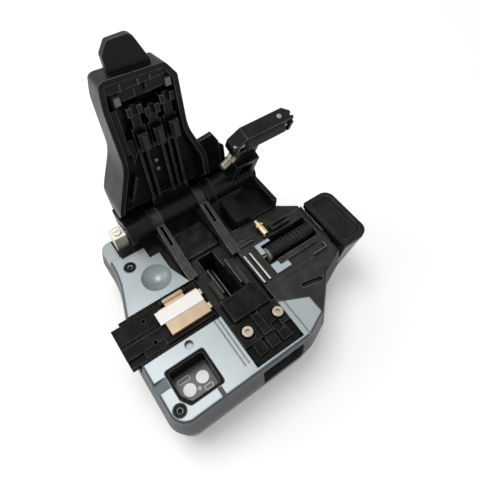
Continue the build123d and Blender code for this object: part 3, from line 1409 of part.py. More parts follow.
def edge_strips():
    """Bright strips along the collector's right edge, at its front corner and left of its mouth."""
    right = COLLECTOR_RIGHT - EDGE_STRIP_SET
    low, top = COLLECTOR_Z, COLLECTOR_Z + EDGE_STRIP_H
    t = EDGE_STRIP_T
    long_strip = box(right - t, right, MOUTH_FRONT, COLLECTOR_BACK - EDGE_STRIP_SET, low, top)
    front = COLLECTOR_FRONT + EDGE_STRIP_SET
    end = EDGE_STRIP_CORNER_X
    corner = box(end - EDGE_STRIP_CORNER_L, end, front, front + t, low, top)
    corner += box(end - t, end, front, front + EDGE_STRIP_CORNER_W, low, top)
    near = EDGE_STRIP_LEFT_Y
    left_strip = box(COLLECTOR_REAR_LEFT + FIT, EDGE_STRIP_LEFT_END, near, near + t, low, top)
    return [long_strip, corner, left_strip]


def gear_housing():
    """Black housing behind the collector, with the side plate that holds the shaft's right end."""
    low = DECK_Z - REAR_DROP
    top = DECK_Z + GEAR_RISE
    housing = box(GEAR_LEFT, EAR_RIGHT, GEAR_FRONT, GEAR_BACK, low, top)
    housing = fillet(housing.edges().filter_by(Axis.Z).group_by(Axis.X)[0], GEAR_R)
    hump = box(GEAR_LEFT, GEAR_LEFT + GEAR_HUMP_W, GEAR_FRONT, GEAR_BACK, low, DECK_Z + GEAR_HUMP_RISE)
    hump = fillet(hump.edges().filter_by(Axis.Z).group_by(Axis.X)[0], GEAR_R)
    housing += fillet(hump.faces().sort_by(Axis.Z)[-1].edges(), GEAR_R / 2)
    plate_top = DECK_Z + GEAR_PLATE_RISE
    points = [
        (GEAR_FRONT, low),
        (RAIL_BACK, low),
        (RAIL_BACK, HINGE_Z),
        (HINGE_Y, plate_top),
        (GEAR_FRONT, plate_top),
    ]
    housing += side_prism(points, EAR_LEFT, EAR_RIGHT)
    housing += rod_x(EAR_LEFT, EAR_RIGHT, HINGE_Y, HINGE_Z, BOSS_R)
    return housing - rod_x(EAR_LEFT - FIT, EAR_RIGHT + FIT, HINGE_Y, HINGE_Z, SHAFT_R + BORE)


# Roller arm

ARM_REACH = HINGE_Y - ROLLER_Y
UPPER_ROLLER_RISE = FIBRE_RISE - FIT + UPPER_ROLLER_GAP + UPPER_ROLLER_R - HINGE_RISE


def arm_bar_span():
    """Near and far reach of the arm's cross bar."""
    return ARM_REACH - ARM_BAR_W / 2, ARM_REACH + ARM_BAR_W / 2


def pin_rod(x0, x1, radius):
    """A round bar on the lift pin's tilted axis, between distances from the leg's left face."""
    foot = Pos(LEG_LEFT, HINGE_Y - LIFT_PIN_REACH, HINGE_Z + LIFT_PIN_RISE)
    return foot * Rot(0, -LIFT_PIN_TILT, 0) * rod_x(x0, x1, 0, 0, radius)


def arm_leg():
    """Leg from the shaft to the bar, thicker and pocketed near its foot."""
    near = arm_bar_span()[0]
    leg = swing_box(LEG_LEFT, LEG_RIGHT, 0, near + ARM_BAR_WALL, LEG_LOW, ARM_BAR_TOP)
    back, front = LEG_BLOCK_BACK, LEG_BLOCK_FRONT
    leg += swing_box(LEG_LEFT, LEG_RIGHT, back, front, LEG_BLOCK_LOW, LEG_LOW)
    side, end = LEG_POCKET_SIDE, LEG_POCKET_END
    roof = ARM_BAR_TOP - LEG_POCKET_ROOF
    return leg - swing_box(LEG_LEFT + side, LEG_RIGHT - side, back + end, front - end, -FAR, roof)


def arm_bar():
    """Channel shaped bar over the roller, bevelled at its left and tapered at its right end."""
    near, far = arm_bar_span()
    wall = ARM_BAR_WALL
    left, right = ARM_BAR_LEFT, ARM_BAR_RIGHT
    bar = swing_box(left, right, near, far, ARM_BAR_LOW, ARM_BAR_TOP)
    bar = chamfer(bar.edges().filter_by(Axis.Z).group_by(Axis.Y)[0].sort_by(Axis.X)[0], ARM_BAR_BEVEL)
    bar = chamfer(bar.edges().filter_by(Axis.Y).group_by(Axis.Z)[-1].sort_by(Axis.X)[-1], ARM_TIP_CUT)
    half = ARM_CHEEK_W / 2
    for x in (left, right - wall):
        bar += swing_box(x, x + wall, ARM_REACH - half, ARM_REACH + half, ARM_CHEEK_LOW, ARM_BAR_LOW)
    cut = swing_box(left + wall, right - wall, near + wall, far - wall, -FAR, ARM_BAR_TOP - ARM_BAR_ROOF)
    bevel_wall = cut.edges().filter_by(Axis.Z).group_by(Axis.Y)[0].sort_by(Axis.X)[0]
    cut = chamfer(bevel_wall, ARM_BAR_BEVEL - wall / 2)
    roof_end = cut.edges().filter_by(Axis.Y).group_by(Axis.Z)[-1].sort_by(Axis.X)[-1]
    bar -= chamfer(roof_end, ARM_TIP_CUT - wall / 2)
    notch = ARM_BAR_LOW + ARM_NOTCH_W
    return bar - swing_box(right - ARM_NOTCH_DEPTH, right, near, far, notch, notch + ARM_NOTCH_W)


def roller_arm():
    """Leg from the shaft and a channel shaped bar over the roller."""
    arm = rod_x(ARM_LEFT, ARM_RIGHT, HINGE_Y, HINGE_Z, ARM_BARREL_R) + arm_leg() + arm_bar()
    arm -= rod_x(ARM_LEFT - FIT, ARM_RIGHT + FIT, HINGE_Y, HINGE_Z, SHAFT_R + BORE)
    arm += pin_rod(-PIN_BOSS_L, LIFT_PIN_SEAT + ARM_BAR_WALL, PIN_BOSS_R)
    arm -= pin_rod(-LIFT_PIN_L, LIFT_PIN_SEAT, LIFT_PIN_R + BORE)
    roller_z = HINGE_Z + UPPER_ROLLER_RISE
    left, right = ARM_BAR_LEFT - FIT, ARM_BAR_RIGHT + FIT
    return arm - rod_x(left, right, ROLLER_Y, roller_z, ROLLER_SHAFT_R + BORE)


def lift_pin():
    """Steel pin on the arm's left side with a collar against its boss."""
    pin = pin_rod(-LIFT_PIN_L, LIFT_PIN_SEAT - FIT, LIFT_PIN_R)
    pin = chamfer(pin.faces().sort_by(Axis.X)[0].edges(), LIFT_PIN_EDGE)
    face = -PIN_BOSS_L - FIT
    return pin + pin_rod(face - PIN_COLLAR_L, face, PIN_COLLAR_R)


def arm_rivet():
    """Rivet head on the front of the arm's bar."""
    face = HINGE_Y - arm_bar_span()[1]
    z = HINGE_Z + (ARM_BAR_LOW + ARM_BAR_TOP) / 2
    head = rod_y(face - ARM_RIVET_H, face, ARM_RIVET_X, z, ARM_RIVET_R)
    return chamfer(head.faces().sort_by(Axis.Y)[0].edges(), ARM_RIVET_H / 2)


def upper_roller_shaft():
    """Fixed pin of the upper roller."""
    return rod_x(ARM_BAR_LEFT, ARM_BAR_RIGHT, ROLLER_Y, HINGE_Z + UPPER_ROLLER_RISE, ROLLER_SHAFT_R)


def upper_roller():
    """Rubber roller under the arm's bar."""
    left = ARM_BAR_LEFT + ARM_BAR_BEVEL + ROLLER_PLAY
    right = ARM_BAR_RIGHT - ARM_BAR_WALL - ARM_TIP_CUT
    z = HINGE_Z + UPPER_ROLLER_RISE
    roller = rod_x(left, right, ROLLER_Y, z, UPPER_ROLLER_R)
    return roller - rod_x(left - FIT, right + FIT, ROLLER_Y, z, ROLLER_SHAFT_R + BORE)


# Scrap bin

def bin_form():
    """Outside of the bin: its front view and its side view, one through the other."""
    top = DECK_Z + BIN_TOP_RISE
    middle_y = BIN_FRONT + BIN_L / 2
    front_view = [
        (BIN_LEFT, BIN_FOOT_Z),
        (BIN_LEFT + BIN_FOOT_W, BIN_FOOT_Z),
        (BIN_LEFT + BIN_W, top),
        (BIN_LEFT, top),
    ]
    face = make_face(Plane.XZ * Polyline(*front_view, close=True))
    across = extrude(face, amount=FAR, both=True)
    side_view = [
        (middle_y - BIN_FOOT_L / 2, BIN_FOOT_Z),
        (middle_y + BIN_FOOT_L / 2, BIN_FOOT_Z),
        (middle_y + BIN_L / 2, top),
        (middle_y - BIN_L / 2, top),
    ]
    form = across & side_prism(side_view, 0, FAR)
    corners = form.edges().filter_by(lambda edge: abs((edge @ 1 - edge @ 0).Z) > BIN_FOOT_Z)
    form = fillet(corners.sort_by(Axis.X)[-2:], BIN_R)
    return fillet(form.faces().sort_by(Axis.Z)[0].edges(), BIN_FOOT_R)


def bin_container():
    """Open grey container with an inlet on the roller's side and two tongues."""
    form = bin_form()
    top = DECK_Z + BIN_TOP_RISE
    shell = offset(form, amount=-BIN_WALL, openings=form.faces().sort_by(Axis.Z)[-1])
    shell -= box(0, BIN_LEFT + BIN_WALL * 2, MOUTH_FRONT, MOUTH_BACK, top - BIN_INLET_DEPTH, FAR)
    for y in TONGUE_YS:
        near, far = y - TONGUE_W / 2, y + TONGUE_W / 2
        left, right = BIN_LEFT - TONGUE_L, BIN_LEFT + BIN_WALL
        shell += box(left, right, near, far, TONGUE_Z, TONGUE_Z + TONGUE_H)
    return shell


def bin_cap():
    """Dark dished cap that plugs the container."""
    low = DECK_Z + BIN_TOP_RISE + BIN_CAP_GAP
    right = BIN_LEFT + BIN_W + BIN_CAP_OVERHANG
    front = BIN_FRONT - BIN_CAP_OVERHANG
    back = BIN_FRONT + BIN_L + BIN_CAP_OVERHANG
    small = EDGE_R / 2
    corners = [
        (BIN_CAP_LEFT, front, small),
        (right, front, BIN_CAP_CORNER_R),
        (right, back, BIN_CAP_CORNER_R),
        (BIN_CAP_LEFT, back, small),
    ]
    plan = outline(corners)
    cap = prism(plan, low, low + BIN_CAP_T)
    cap = fillet(cap.faces().sort_by(Axis.Z)[-1].edges(), BIN_CAP_EDGE)
    run = BIN_CAP_DISH_DEPTH * tan(radians(BIN_CAP_DISH_LEAN))
    floor = offset(plan, amount=-BIN_CAP_DISH_SET - run)
    cap -= prism(floor, low + BIN_CAP_T - BIN_CAP_DISH_DEPTH, low + BIN_CAP_T, taper=-BIN_CAP_DISH_LEAN)
    plug_set = BIN_WALL + BIN_CAP_PLUG_SET
    plug = box(
        BIN_LEFT + plug_set,
        BIN_LEFT + BIN_W - plug_set,
        BIN_FRONT + plug_set,
        BIN_FRONT + BIN_L - plug_set,
        low - BIN_CAP_PLUG_T,
        low,
    )
    return cap + fillet(plug.edges().filter_by(Axis.Z), BIN_CAP_PLUG_R)


def lift_lid(piece):
    """Turn a lid piece from closed to the open rest pose."""
    return piece.rotate(HINGE_AXIS, -LID_OPEN)


def lift_arm(piece):
    """Turn an arm piece from closed to the raised rest pose."""
    return piece.rotate(HINGE_AXIS, -ARM_OPEN)


LEFT_X, RIGHT_X = clamp_xs()
UPPER_PAD_W = LOWER_PAD_W

FIXED = {
    "top_cover": top_cover(),
    "bottom_cover": bottom_cover(),
    "rubber_feet": rubber_feet(),
    "bottom_screws": bottom_screws(),
    "deck_screws": deck_screws(),
    "window_liner": window_liner(),
    "window_plate": window_plate(),
    "slot_liner": slot_liner(),
    "chassis": chassis(),
    "left_hinge_bracket": hinge_bracket(RAIL_LEFT),
    "right_hinge_bracket": hinge_bracket(RAIL_RIGHT - RAIL_W),
    "floor_plate": floor_plate(),
    "hinge_tray": hinge_tray(),
    "hinge_shaft": hinge_shaft(),
    "stop_block": stop_block(),
    "stop_screw": stop_screw(),
    "guide_rods": guide_rods(),
    "blade_slider": blade_slider(),
    "blade_axle": blade_axle(),
    "blade": blade(),
    "lower_clamps": lower_clamps(),
    "lower_pads": lower_pads(),
    "blade_guards": blade_guards(),
    "front_block": front_block(),
    "cap_screws": cap_screws(),
    "side_housing": side_housing(),
    "collector_frame": collector_frame(),
    "steel_rods": steel_rods(),
    "grooved_roller": grooved_roller(),
    "roller_shaft": roller_shaft(),
    "roller_disc": roller_disc(),
    "pale_plates": pale_plates(),
    "brass_bush": brass_bush(),
    "slotted_fork": slotted_fork(),
    "edge_strips": edge_strips(),
    "gear_housing": gear_housing(),
    "bin_container": bin_container(),
    "bin_cap": bin_cap(),
    "holder_base": holder_base(),
    "holder_pin": holder_pin(),
    "holder_lid": holder_lid(),
    "holder_strip": holder_strip(),
}

LID = {
    "lid_shell": lid_shell(),
    "lid_frame": lid_frame(),
    "lid_bar": lid_bar(),
    "lid_clips": lid_clips(),
    "lid_rivets": lid_rivets(),
    "clamp_guides": clamp_guides(),
    "left_clamp": upper_block(LEFT_X, UPPER_BLOCK_W),
    "left_clamp_pad": upper_pad(LEFT_X, UPPER_PAD_W),
    "right_clamp": upper_block(RIGHT_X, UPPER_BLOCK_W),
    "right_clamp_pad": upper_pad(RIGHT_X, UPPER_PAD_W),
    "anvil": upper_block(MECH_X, UPPER_BLOCK_W),
    "anvil_tip": upper_pad(MECH_X, UPPER_PAD_W),
}

ARM = {
    "roller_arm": roller_arm(),
    "lift_pin": lift_pin(),
    "arm_rivet": arm_rivet(),
    "upper_roller_shaft": upper_roller_shaft(),
    "upper_roller": upper_roller(),
}


def solids_of(shape):
    """All solids of a piece, which may be one shape or a list."""
    shapes = shape if isinstance(shape, list) else [shape]
    return [solid for item in shapes for solid in item.solids()]


def rest_pieces():
    """Every node's solids in the rest pose, lid open and arm raised."""
    pieces = {name: solids_of(shape) for name, shape in FIXED.items()}
    pieces.update({name: [lift_lid(s) for s in solids_of(shape)] for name, shape in LID.items()})
    pieces.update({name: [lift_arm(s) for s in solids_of(shape)] for name, shape in ARM.items()})
    return pieces


PIECES = rest_pieces()
WHOLE = Compound([solid for solids in PIECES.values() for solid in solids]).bounding_box()
SHIFT = Vector(-WHOLE.center().X, -WHOLE.center().Y, -WHOLE.min.Z)  # origin under the middle, on the table

os.makedirs("parts", exist_ok=True)
for node, solids in PIECES.items():
    placed = [solid.moved(Location(SHIFT)) for solid in solids]
    export_step(placed[0] if len(placed) == 1 else Compound(placed), f"parts/{node}.step")
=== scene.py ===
"""Looks of a bench fibre cleaver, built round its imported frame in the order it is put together."""

import json
import math

import bmesh
import bpy
from mathutils import Matrix, Vector


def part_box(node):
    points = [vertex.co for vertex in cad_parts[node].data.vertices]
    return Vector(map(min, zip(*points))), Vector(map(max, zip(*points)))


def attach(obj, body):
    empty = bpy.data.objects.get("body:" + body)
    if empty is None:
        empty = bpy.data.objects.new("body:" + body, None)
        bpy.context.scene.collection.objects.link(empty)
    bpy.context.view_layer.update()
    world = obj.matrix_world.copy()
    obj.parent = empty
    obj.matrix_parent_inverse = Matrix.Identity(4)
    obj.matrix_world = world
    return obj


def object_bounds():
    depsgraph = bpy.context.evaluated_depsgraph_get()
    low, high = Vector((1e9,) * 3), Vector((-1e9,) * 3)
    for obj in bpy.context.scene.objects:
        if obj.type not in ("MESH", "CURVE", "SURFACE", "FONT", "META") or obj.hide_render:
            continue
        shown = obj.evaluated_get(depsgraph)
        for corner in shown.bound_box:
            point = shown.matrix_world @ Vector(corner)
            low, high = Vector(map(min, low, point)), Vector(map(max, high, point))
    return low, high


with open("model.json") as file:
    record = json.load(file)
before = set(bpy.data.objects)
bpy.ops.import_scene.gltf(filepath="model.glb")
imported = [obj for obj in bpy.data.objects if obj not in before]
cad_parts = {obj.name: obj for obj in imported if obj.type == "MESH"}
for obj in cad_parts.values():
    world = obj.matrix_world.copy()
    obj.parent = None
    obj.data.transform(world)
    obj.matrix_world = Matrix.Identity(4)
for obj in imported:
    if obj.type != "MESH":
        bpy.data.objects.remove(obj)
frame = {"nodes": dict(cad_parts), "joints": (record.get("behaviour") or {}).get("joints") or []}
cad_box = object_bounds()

# Bottom cover: a flat plate moulded in black ABS that closes the body from below.
# Four screws hold it, and the moulding keeps a fine spark-eroded grain.

MM = 0.001


def linear(code):
    """An sRGB hex colour as linear RGBA."""
    values = [int(code[i:i + 2], 16) / 255 for i in (1, 3, 5)]
    return [v / 12.92 if v <= 0.04045 else ((v + 0.055) / 1.055) ** 2.4 for v in values] + [1.0]


def add(tree, kind, settings=None, values=None, links=None):
    """Adds a node with its settings, its socket values and the links that feed it."""
    node = tree.nodes.new(kind)
    for name, value in (settings or {}).items():
        setattr(node, name, value)
    for name, value in (values or {}).items():
        node.inputs[name].default_value = value
    for name, source in (links or {}).items():
        tree.links.new(source, node.inputs[name])
    return node


def new_finish(name):
    """A new material, its node tree, its main shader and the coordinates its patterns read."""
    material = bpy.data.materials.new(name)
    material.use_nodes = True
    tree = material.node_tree
    place = add(tree, "ShaderNodeTexCoord").outputs["Object"]
    return material, tree, tree.nodes["Principled BSDF"], place


def soft_edges(tree, radius):
    """The normal with edges rounded off, and how far it agrees with the true one."""
    rounded = add(tree, "ShaderNodeBevel", {"samples": 6}, {"Radius": radius})
    flat = add(tree, "ShaderNodeNewGeometry")
    agree = add(tree, "ShaderNodeVectorMath", {"operation": "DOT_PRODUCT"},
                links={0: rounded.outputs["Normal"], 1: flat.outputs["Normal"]})
    return rounded.outputs["Normal"], agree.outputs["Value"]


def dress(material, *names):
    """Gives CAD nodes a finish."""
    for name in names:
        slots = frame["nodes"][name].data.materials
        slots.clear()
        slots.append(material)


def moulded_black(name, body, dust, edge, roughness, edge_mm, gloss_level):
    """Black plastic or casting: fine grain, patches of dust, outer edges paler, partly wear and partly a
    painted highlight, and a painted shade in inner corners and recesses.
    """
    grain_size = 0.4 * MM  # coarser than the real grain, so that it shows
    cloud_size = 6.0 * MM
    shelter_reach = 3.0 * MM
    material, tree, shader, place = new_finish(name)
    grain = add(tree, "ShaderNodeTexNoise", values={"Scale": 1 / grain_size, "Detail": 3.0},
                links={"Vector": place})
    cloud = add(tree, "ShaderNodeTexNoise",
                values={"Scale": 1 / cloud_size, "Detail": 6.0, "Roughness": 0.65}, links={"Vector": place})
    film = add(tree, "ShaderNodeMapRange", values={"From Min": 0.42, "From Max": 0.72, "To Max": 0.6},
               links={"Value": cloud.outputs["Fac"]})
    dusty = add(tree, "ShaderNodeMix", {"data_type": "RGBA"}, {"A": linear(body), "B": linear(dust)},
                {"Factor": film.outputs["Result"]})
    rounded, agree = soft_edges(tree, edge_mm * MM)
    # Paler outer edges: partly wear, partly a painted highlight.
    rub_and_glint = add(tree, "ShaderNodeMapRange", values={"From Min": 0.99, "From Max": 0.8, "To Max": 1.5},
              links={"Value": agree})
    shelter = add(tree, "ShaderNodeAmbientOcclusion", {"samples": 6}, {"Distance": shelter_reach})
    outer = add(tree, "ShaderNodeMapRange", values={"From Min": 0.72, "From Max": 0.95},
                links={"Value": shelter.outputs["AO"]})
    outer_rub_and_glint = add(tree, "ShaderNodeMath", {"operation": "MULTIPLY"},
                 links={0: rub_and_glint.outputs["Result"], 1: outer.outputs["Result"]})
    uneven = add(tree, "ShaderNodeMath", {"operation": "MULTIPLY"},
                 links={0: outer_rub_and_glint.outputs["Value"], 1: cloud.outputs["Fac"]})
    worn_and_glint = add(tree, "ShaderNodeMix", {"data_type": "RGBA"}, {"B": linear(edge)},
               {"Factor": uneven.outputs["Value"], "A": dusty.outputs["Result"]})
    # Painted shade: corners and recesses are darkened, the more so the more they are closed in.
    painted_shade = add(tree, "ShaderNodeMapRange", values={"From Min": 0.3, "From Max": 0.9, "To Min": 0.2},
                links={"Value": shelter.outputs["AO"]})
    tone = add(tree, "ShaderNodeMix", {"data_type": "RGBA", "blend_type": "MULTIPLY"}, {"Factor": 1.0},
               {"A": worn_and_glint.outputs["Result"], "B": painted_shade.outputs["Result"]})
    gloss = add(tree, "ShaderNodeMapRange",
                values={"From Min": 0.3, "From Max": 0.7,
                        "To Min": roughness - 0.06, "To Max": roughness + 0.1},
                links={"Value": cloud.outputs["Fac"]})
    bump = add(tree, "ShaderNodeBump", values={"Strength": 0.25, "Distance": 0.02 * MM},
               links={"Height": grain.outputs["Fac"], "Normal": rounded})
    tree.links.new(tone.outputs["Result"], shader.inputs["Base Color"])
    tree.links.new(gloss.outputs["Result"], shader.inputs["Roughness"])
    tree.links.new(bump.outputs["Normal"], shader.inputs["Normal"])
    shader.inputs["IOR"].default_value = 1.52
    shader.inputs["Specular IOR Level"].default_value = gloss_level
    return material


grained_abs = moulded_black("black_abs_grained", body="#161616", dust="#30302F", edge="#8A8A84",
                            roughness=0.5, edge_mm=0.5, gloss_level=0.12)
dress(grained_abs, "bottom_cover")

# Feet: soft nitrile rubber buttons pressed into round seats in the bottom cover.
# Rubber is dull and slightly grey from dust, with a bloom that breaks up its tone.
# The clamp pads, the anvil's tip and the upper roller are of the same rubber.

BLOOM = 2.5 * MM
rubber, tree, shader, place = new_finish("nitrile_rubber")
bloom = add(tree, "ShaderNodeTexNoise", values={"Scale": 1 / BLOOM, "Detail": 6.0}, links={"Vector": place})
tone = add(tree, "ShaderNodeMix", {"data_type": "RGBA"}, {"A": linear("#1B1B1B"), "B": linear("#343432")},
           {"Factor": bloom.outputs["Fac"]})
skin = add(tree, "ShaderNodeBump", values={"Strength": 0.3, "Distance": 0.03 * MM},
           links={"Height": bloom.outputs["Fac"]})
tree.links.new(tone.outputs["Result"], shader.inputs["Base Color"])
tree.links.new(skin.outputs["Normal"], shader.inputs["Normal"])
shader.inputs["Roughness"].default_value = 0.8
dress(rubber, "rubber_feet", "lower_pads", "left_clamp_pad", "right_clamp_pad", "anvil_tip", "upper_roller")

# Screws of the bottom cover and of the deck: steel with a black oxide skin, driven by a hexagon key.
# The oxide is dark and half glossy, and its rims are paler, partly where it rubs through to steel and partly
# a painted highlight.


def metal(name, colour, worn_and_glint, roughness, edge_mm, scratch_mm, relief):
    """A bare or plated metal with fine lines from grinding or turning, and paler rims, partly wear and partly
    a painted highlight.
    """
    # The lines are drawn coarser than real ones, so that they show.
    patch_size = 3.0 * MM
    material, tree, shader, place = new_finish(name)
    lines = add(tree, "ShaderNodeTexNoise", values={"Scale": 1 / (scratch_mm * MM), "Detail": 2.0},
                links={"Vector": place})
    patch = add(tree, "ShaderNodeTexNoise", values={"Scale": 1 / patch_size, "Detail": 3.0},
                links={"Vector": place})
    rounded, agree = soft_edges(tree, edge_mm * MM)
    rim = add(tree, "ShaderNodeMapRange", values={"From Min": 0.995, "From Max": 0.85},
              links={"Value": agree})
    tone = add(tree, "ShaderNodeMix", {"data_type": "RGBA"}, {"A": linear(colour), "B": linear(worn_and_glint)},
               {"Factor": rim.outputs["Result"]})
    gloss = add(tree, "ShaderNodeMapRange",
                values={"From Min": 0.3, "From Max": 0.7,
                        "To Min": roughness - 0.07, "To Max": roughness + 0.1},
                links={"Value": patch.outputs["Fac"]})
    bump = add(tree, "ShaderNodeBump", values={"Strength": relief, "Distance": 0.01 * MM},
               links={"Height": lines.outputs["Fac"], "Normal": rounded})
    tree.links.new(tone.outputs["Result"], shader.inputs["Base Color"])
    tree.links.new(gloss.outputs["Result"], shader.inputs["Roughness"])
    tree.links.new(bump.outputs["Normal"], shader.inputs["Normal"])
    shader.inputs["Metallic"].default_value = 1.0
    return material


black_oxide = metal("black_oxide_steel", colour="#141414", worn_and_glint="#DEDEDA",
                    roughness=0.4, edge_mm=0.35, scratch_mm=0.4, relief=0.2)
dress(black_oxide, "bottom_screws", "deck_screws")

# Top cover: the main shell, moulded in dark grey ABS and sprayed on top with a satin blue-grey paint.
# The spray is masked just under the deck's edge, so the walls and the recess in the front stay bare.
# It has small metal flakes. Slopes are painted darker, a painted shade, except in the dimple, where the paint
# keeps its level tone.

PEEL = 0.8 * MM
FLAKE = 0.3 * MM  # coarser than real flakes, so that they show
SHADE = 30.0 * MM
PAINT_EDGE = 2.0 * MM  # depth of the masked line below the deck
PAINT_EDGE_FADE = 0.3 * MM
PAINT_REACH = 5.0 * MM  # depth to which the spray covers faces that look up
PAINT_REACH_FADE = 0.4 * MM
PAINT_ROUND = 0.4 * MM
DIMPLE_X, DIMPLE_Y = 26.2 * MM, 62.3 * MM  # from the cover's left front corner
DIMPLE_BRIGHT_R, DIMPLE_R = 6.4 * MM, 7.6 * MM
cover_low, cover_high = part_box("top_cover")
deck_top = cover_high.z
dimple_middle = (cover_low.x + DIMPLE_X, cover_low.y + DIMPLE_Y, deck_top)
deck_paint, tree, shader, place = new_finish("satin_blue_grey_paint")

# Colour of the paint on level faces, with its flakes.
shade = add(tree, "ShaderNodeTexNoise", values={"Scale": 1 / SHADE, "Detail": 3.0}, links={"Vector": place})
spread = add(tree, "ShaderNodeMapRange", values={"From Min": 0.3, "From Max": 0.7},
             links={"Value": shade.outputs["Fac"]})
ground = add(tree, "ShaderNodeMix", {"data_type": "RGBA"}, {"A": linear("#949D9F"), "B": linear("#A3ABAD")},
             {"Factor": spread.outputs["Result"]})
flake = add(tree, "ShaderNodeTexVoronoi", values={"Scale": 1 / FLAKE}, links={"Vector": place})
sparkle = add(tree, "ShaderNodeMapRange", values={"To Max": 0.12}, links={"Value": flake.outputs["Color"]})
painted = add(tree, "ShaderNodeMix", {"data_type": "RGBA"}, {"B": linear("#DCE3E8")},
              {"Factor": sparkle.outputs["Result"], "A": ground.outputs["Result"]})

# Where the paint lies: everywhere above the masked line, and below it on faces that look up.
height = add(tree, "ShaderNodeSeparateXYZ", links={"Vector": place})
above = add(tree, "ShaderNodeMapRange",
            values={"From Min": deck_top - PAINT_EDGE, "From Max": deck_top - PAINT_EDGE + PAINT_EDGE_FADE},
            links={"Value": height.outputs["Z"]})
facing = add(tree, "ShaderNodeNewGeometry")
lean = add(tree, "ShaderNodeSeparateXYZ", links={"Vector": facing.outputs["True Normal"]})
upward = add(tree, "ShaderNodeMapRange", values={"From Min": 0.5, "From Max": 0.6},
             links={"Value": lean.outputs["Z"]})
in_reach = add(tree, "ShaderNodeMapRange",
               values={"From Min": deck_top - PAINT_REACH,
                       "From Max": deck_top - PAINT_REACH + PAINT_REACH_FADE},
               links={"Value": height.outputs["Z"]})
sprayed = add(tree, "ShaderNodeMath", {"operation": "MULTIPLY"},
              links={0: upward.outputs["Result"], 1: in_reach.outputs["Result"]})
coated = add(tree, "ShaderNodeMath", {"operation": "MAXIMUM"},
             links={0: above.outputs["Result"], 1: sprayed.outputs["Value"]})

# Painted shade: slopes are painted darker, and this is held off in the dimple.
rounded, agree = soft_edges(tree, PAINT_ROUND)
slope = add(tree, "ShaderNodeSeparateXYZ", links={"Vector": rounded})
level = add(tree, "ShaderNodeMapRange", values={"From Min": 0.945, "From Max": 0.99},
            links={"Value": slope.outputs["Z"]})
from_dimple = add(tree, "ShaderNodeVectorMath", {"operation": "DISTANCE"}, {1: dimple_middle}, {0: place})
in_dimple = add(tree, "ShaderNodeMapRange",
               values={"From Min": DIMPLE_R, "From Max": DIMPLE_BRIGHT_R, "To Max": 0.8},
               links={"Value": from_dimple.outputs["Value"]})
bright = add(tree, "ShaderNodeMath", {"operation": "MAXIMUM"},
             links={0: level.outputs["Result"], 1: in_dimple.outputs["Result"]})
painted_slope_shade = add(tree, "ShaderNodeMix", {"data_type": "RGBA"}, {"A": linear("#47525A")},
           {"Factor": bright.outputs["Value"], "B": painted.outputs["Result"]})

# Bare walls, paler edges, partly wear and partly a painted highlight, and the orange peel of the spray.
bare = add(tree, "ShaderNodeMix", {"data_type": "RGBA"}, {"A": linear("#303231"), "B": linear("#3B3D3C")},
           {"Factor": spread.outputs["Result"]})
cover_tone = add(tree, "ShaderNodeMix", {"data_type": "RGBA"},
                 links={"Factor": coated.outputs["Value"], "A": bare.outputs["Result"],
                        "B": painted_slope_shade.outputs["Result"]})
rub_and_glint = add(tree, "ShaderNodeMapRange", values={"From Min": 0.99, "From Max": 0.8, "To Max": 0.2},
          links={"Value": agree})
worn_and_glint = add(tree, "ShaderNodeMix", {"data_type": "RGBA"}, {"B": linear("#E4EAEE")},
           {"Factor": rub_and_glint.outputs["Result"], "A": cover_tone.outputs["Result"]})
gloss = add(tree, "ShaderNodeMapRange", values={"To Min": 0.5, "To Max": 0.33},
            links={"Value": coated.outputs["Value"]})
peel = add(tree, "ShaderNodeTexNoise", values={"Scale": 1 / PEEL, "Detail": 2.0}, links={"Vector": place})
skin = add(tree, "ShaderNodeBump", values={"Strength": 0.08, "Distance": 0.02 * MM},
           links={"Height": peel.outputs["Fac"], "Normal": rounded})
tree.links.new(worn_and_glint.outputs["Result"], shader.inputs["Base Color"])
tree.links.new(skin.outputs["Normal"], shader.inputs["Normal"])
tree.links.new(gloss.outputs["Result"], shader.inputs["Roughness"])
shader.inputs["Metallic"].default_value = 0.22
shader.inputs["Coat Weight"].default_value = 0.15
shader.inputs["Specular IOR Level"].default_value = 0.25
shader.inputs["Coat Roughness"].default_value = 0.15
dress(deck_paint, "top_cover")

# Window: a black tub clipped into the deck, with a printed plate at its bottom.
# The tub is polished ABS, so its rim and walls look deep black with sharp reflections.
# The plate is dark film with two white discs that stand a little proud.

DISC_RISE = 0.3 * MM
DISC_SIDE_LOW, DISC_SIDE_HIGH = 0.2 * MM, 0.1 * MM  # below the discs' tops, where the print begins
SMEAR = 2.2 * MM
# The pale edge colour of the tub is a painted highlight along its rim and corners.
polished_abs = moulded_black("black_abs_polished", body="#050505", dust="#0B0B0B", edge="#9A9A9A",
                             roughness=0.16, edge_mm=0.3, gloss_level=0.03)
dress(polished_abs, "window_liner", "slot_liner")
plate_low, plate_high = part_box("window_plate")
plate_film, tree, shader, place = new_finish("printed_polycarbonate_film")
height = add(tree, "ShaderNodeSeparateXYZ", links={"Vector": place})
raised = add(tree, "ShaderNodeMapRange",
             values={"From Min": plate_high.z - DISC_SIDE_LOW, "From Max": plate_high.z - DISC_SIDE_HIGH},
             links={"Value": height.outputs["Z"]})
smear = add(tree, "ShaderNodeTexNoise", values={"Scale": 1 / SMEAR, "Detail": 4.0}, links={"Vector": place})
film = add(tree, "ShaderNodeMix", {"data_type": "RGBA"}, {"A": linear("#343433"), "B": linear("#4E4E4C")},
           {"Factor": smear.outputs["Fac"]})
tone = add(tree, "ShaderNodeMix", {"data_type": "RGBA"}, {"B": linear("#FBFBFA")},
           {"Factor": raised.outputs["Result"], "A": film.outputs["Result"]})
tree.links.new(tone.outputs["Result"], shader.inputs["Base Color"])
shader.inputs["Roughness"].default_value = 0.35
dress(plate_film, "window_plate")

# Marks in the window: a pill outline, a dot and a small framed square in pale ink on the dark film.
# They are screen printed, thick enough to stand a hair above the film, and slightly speckled.


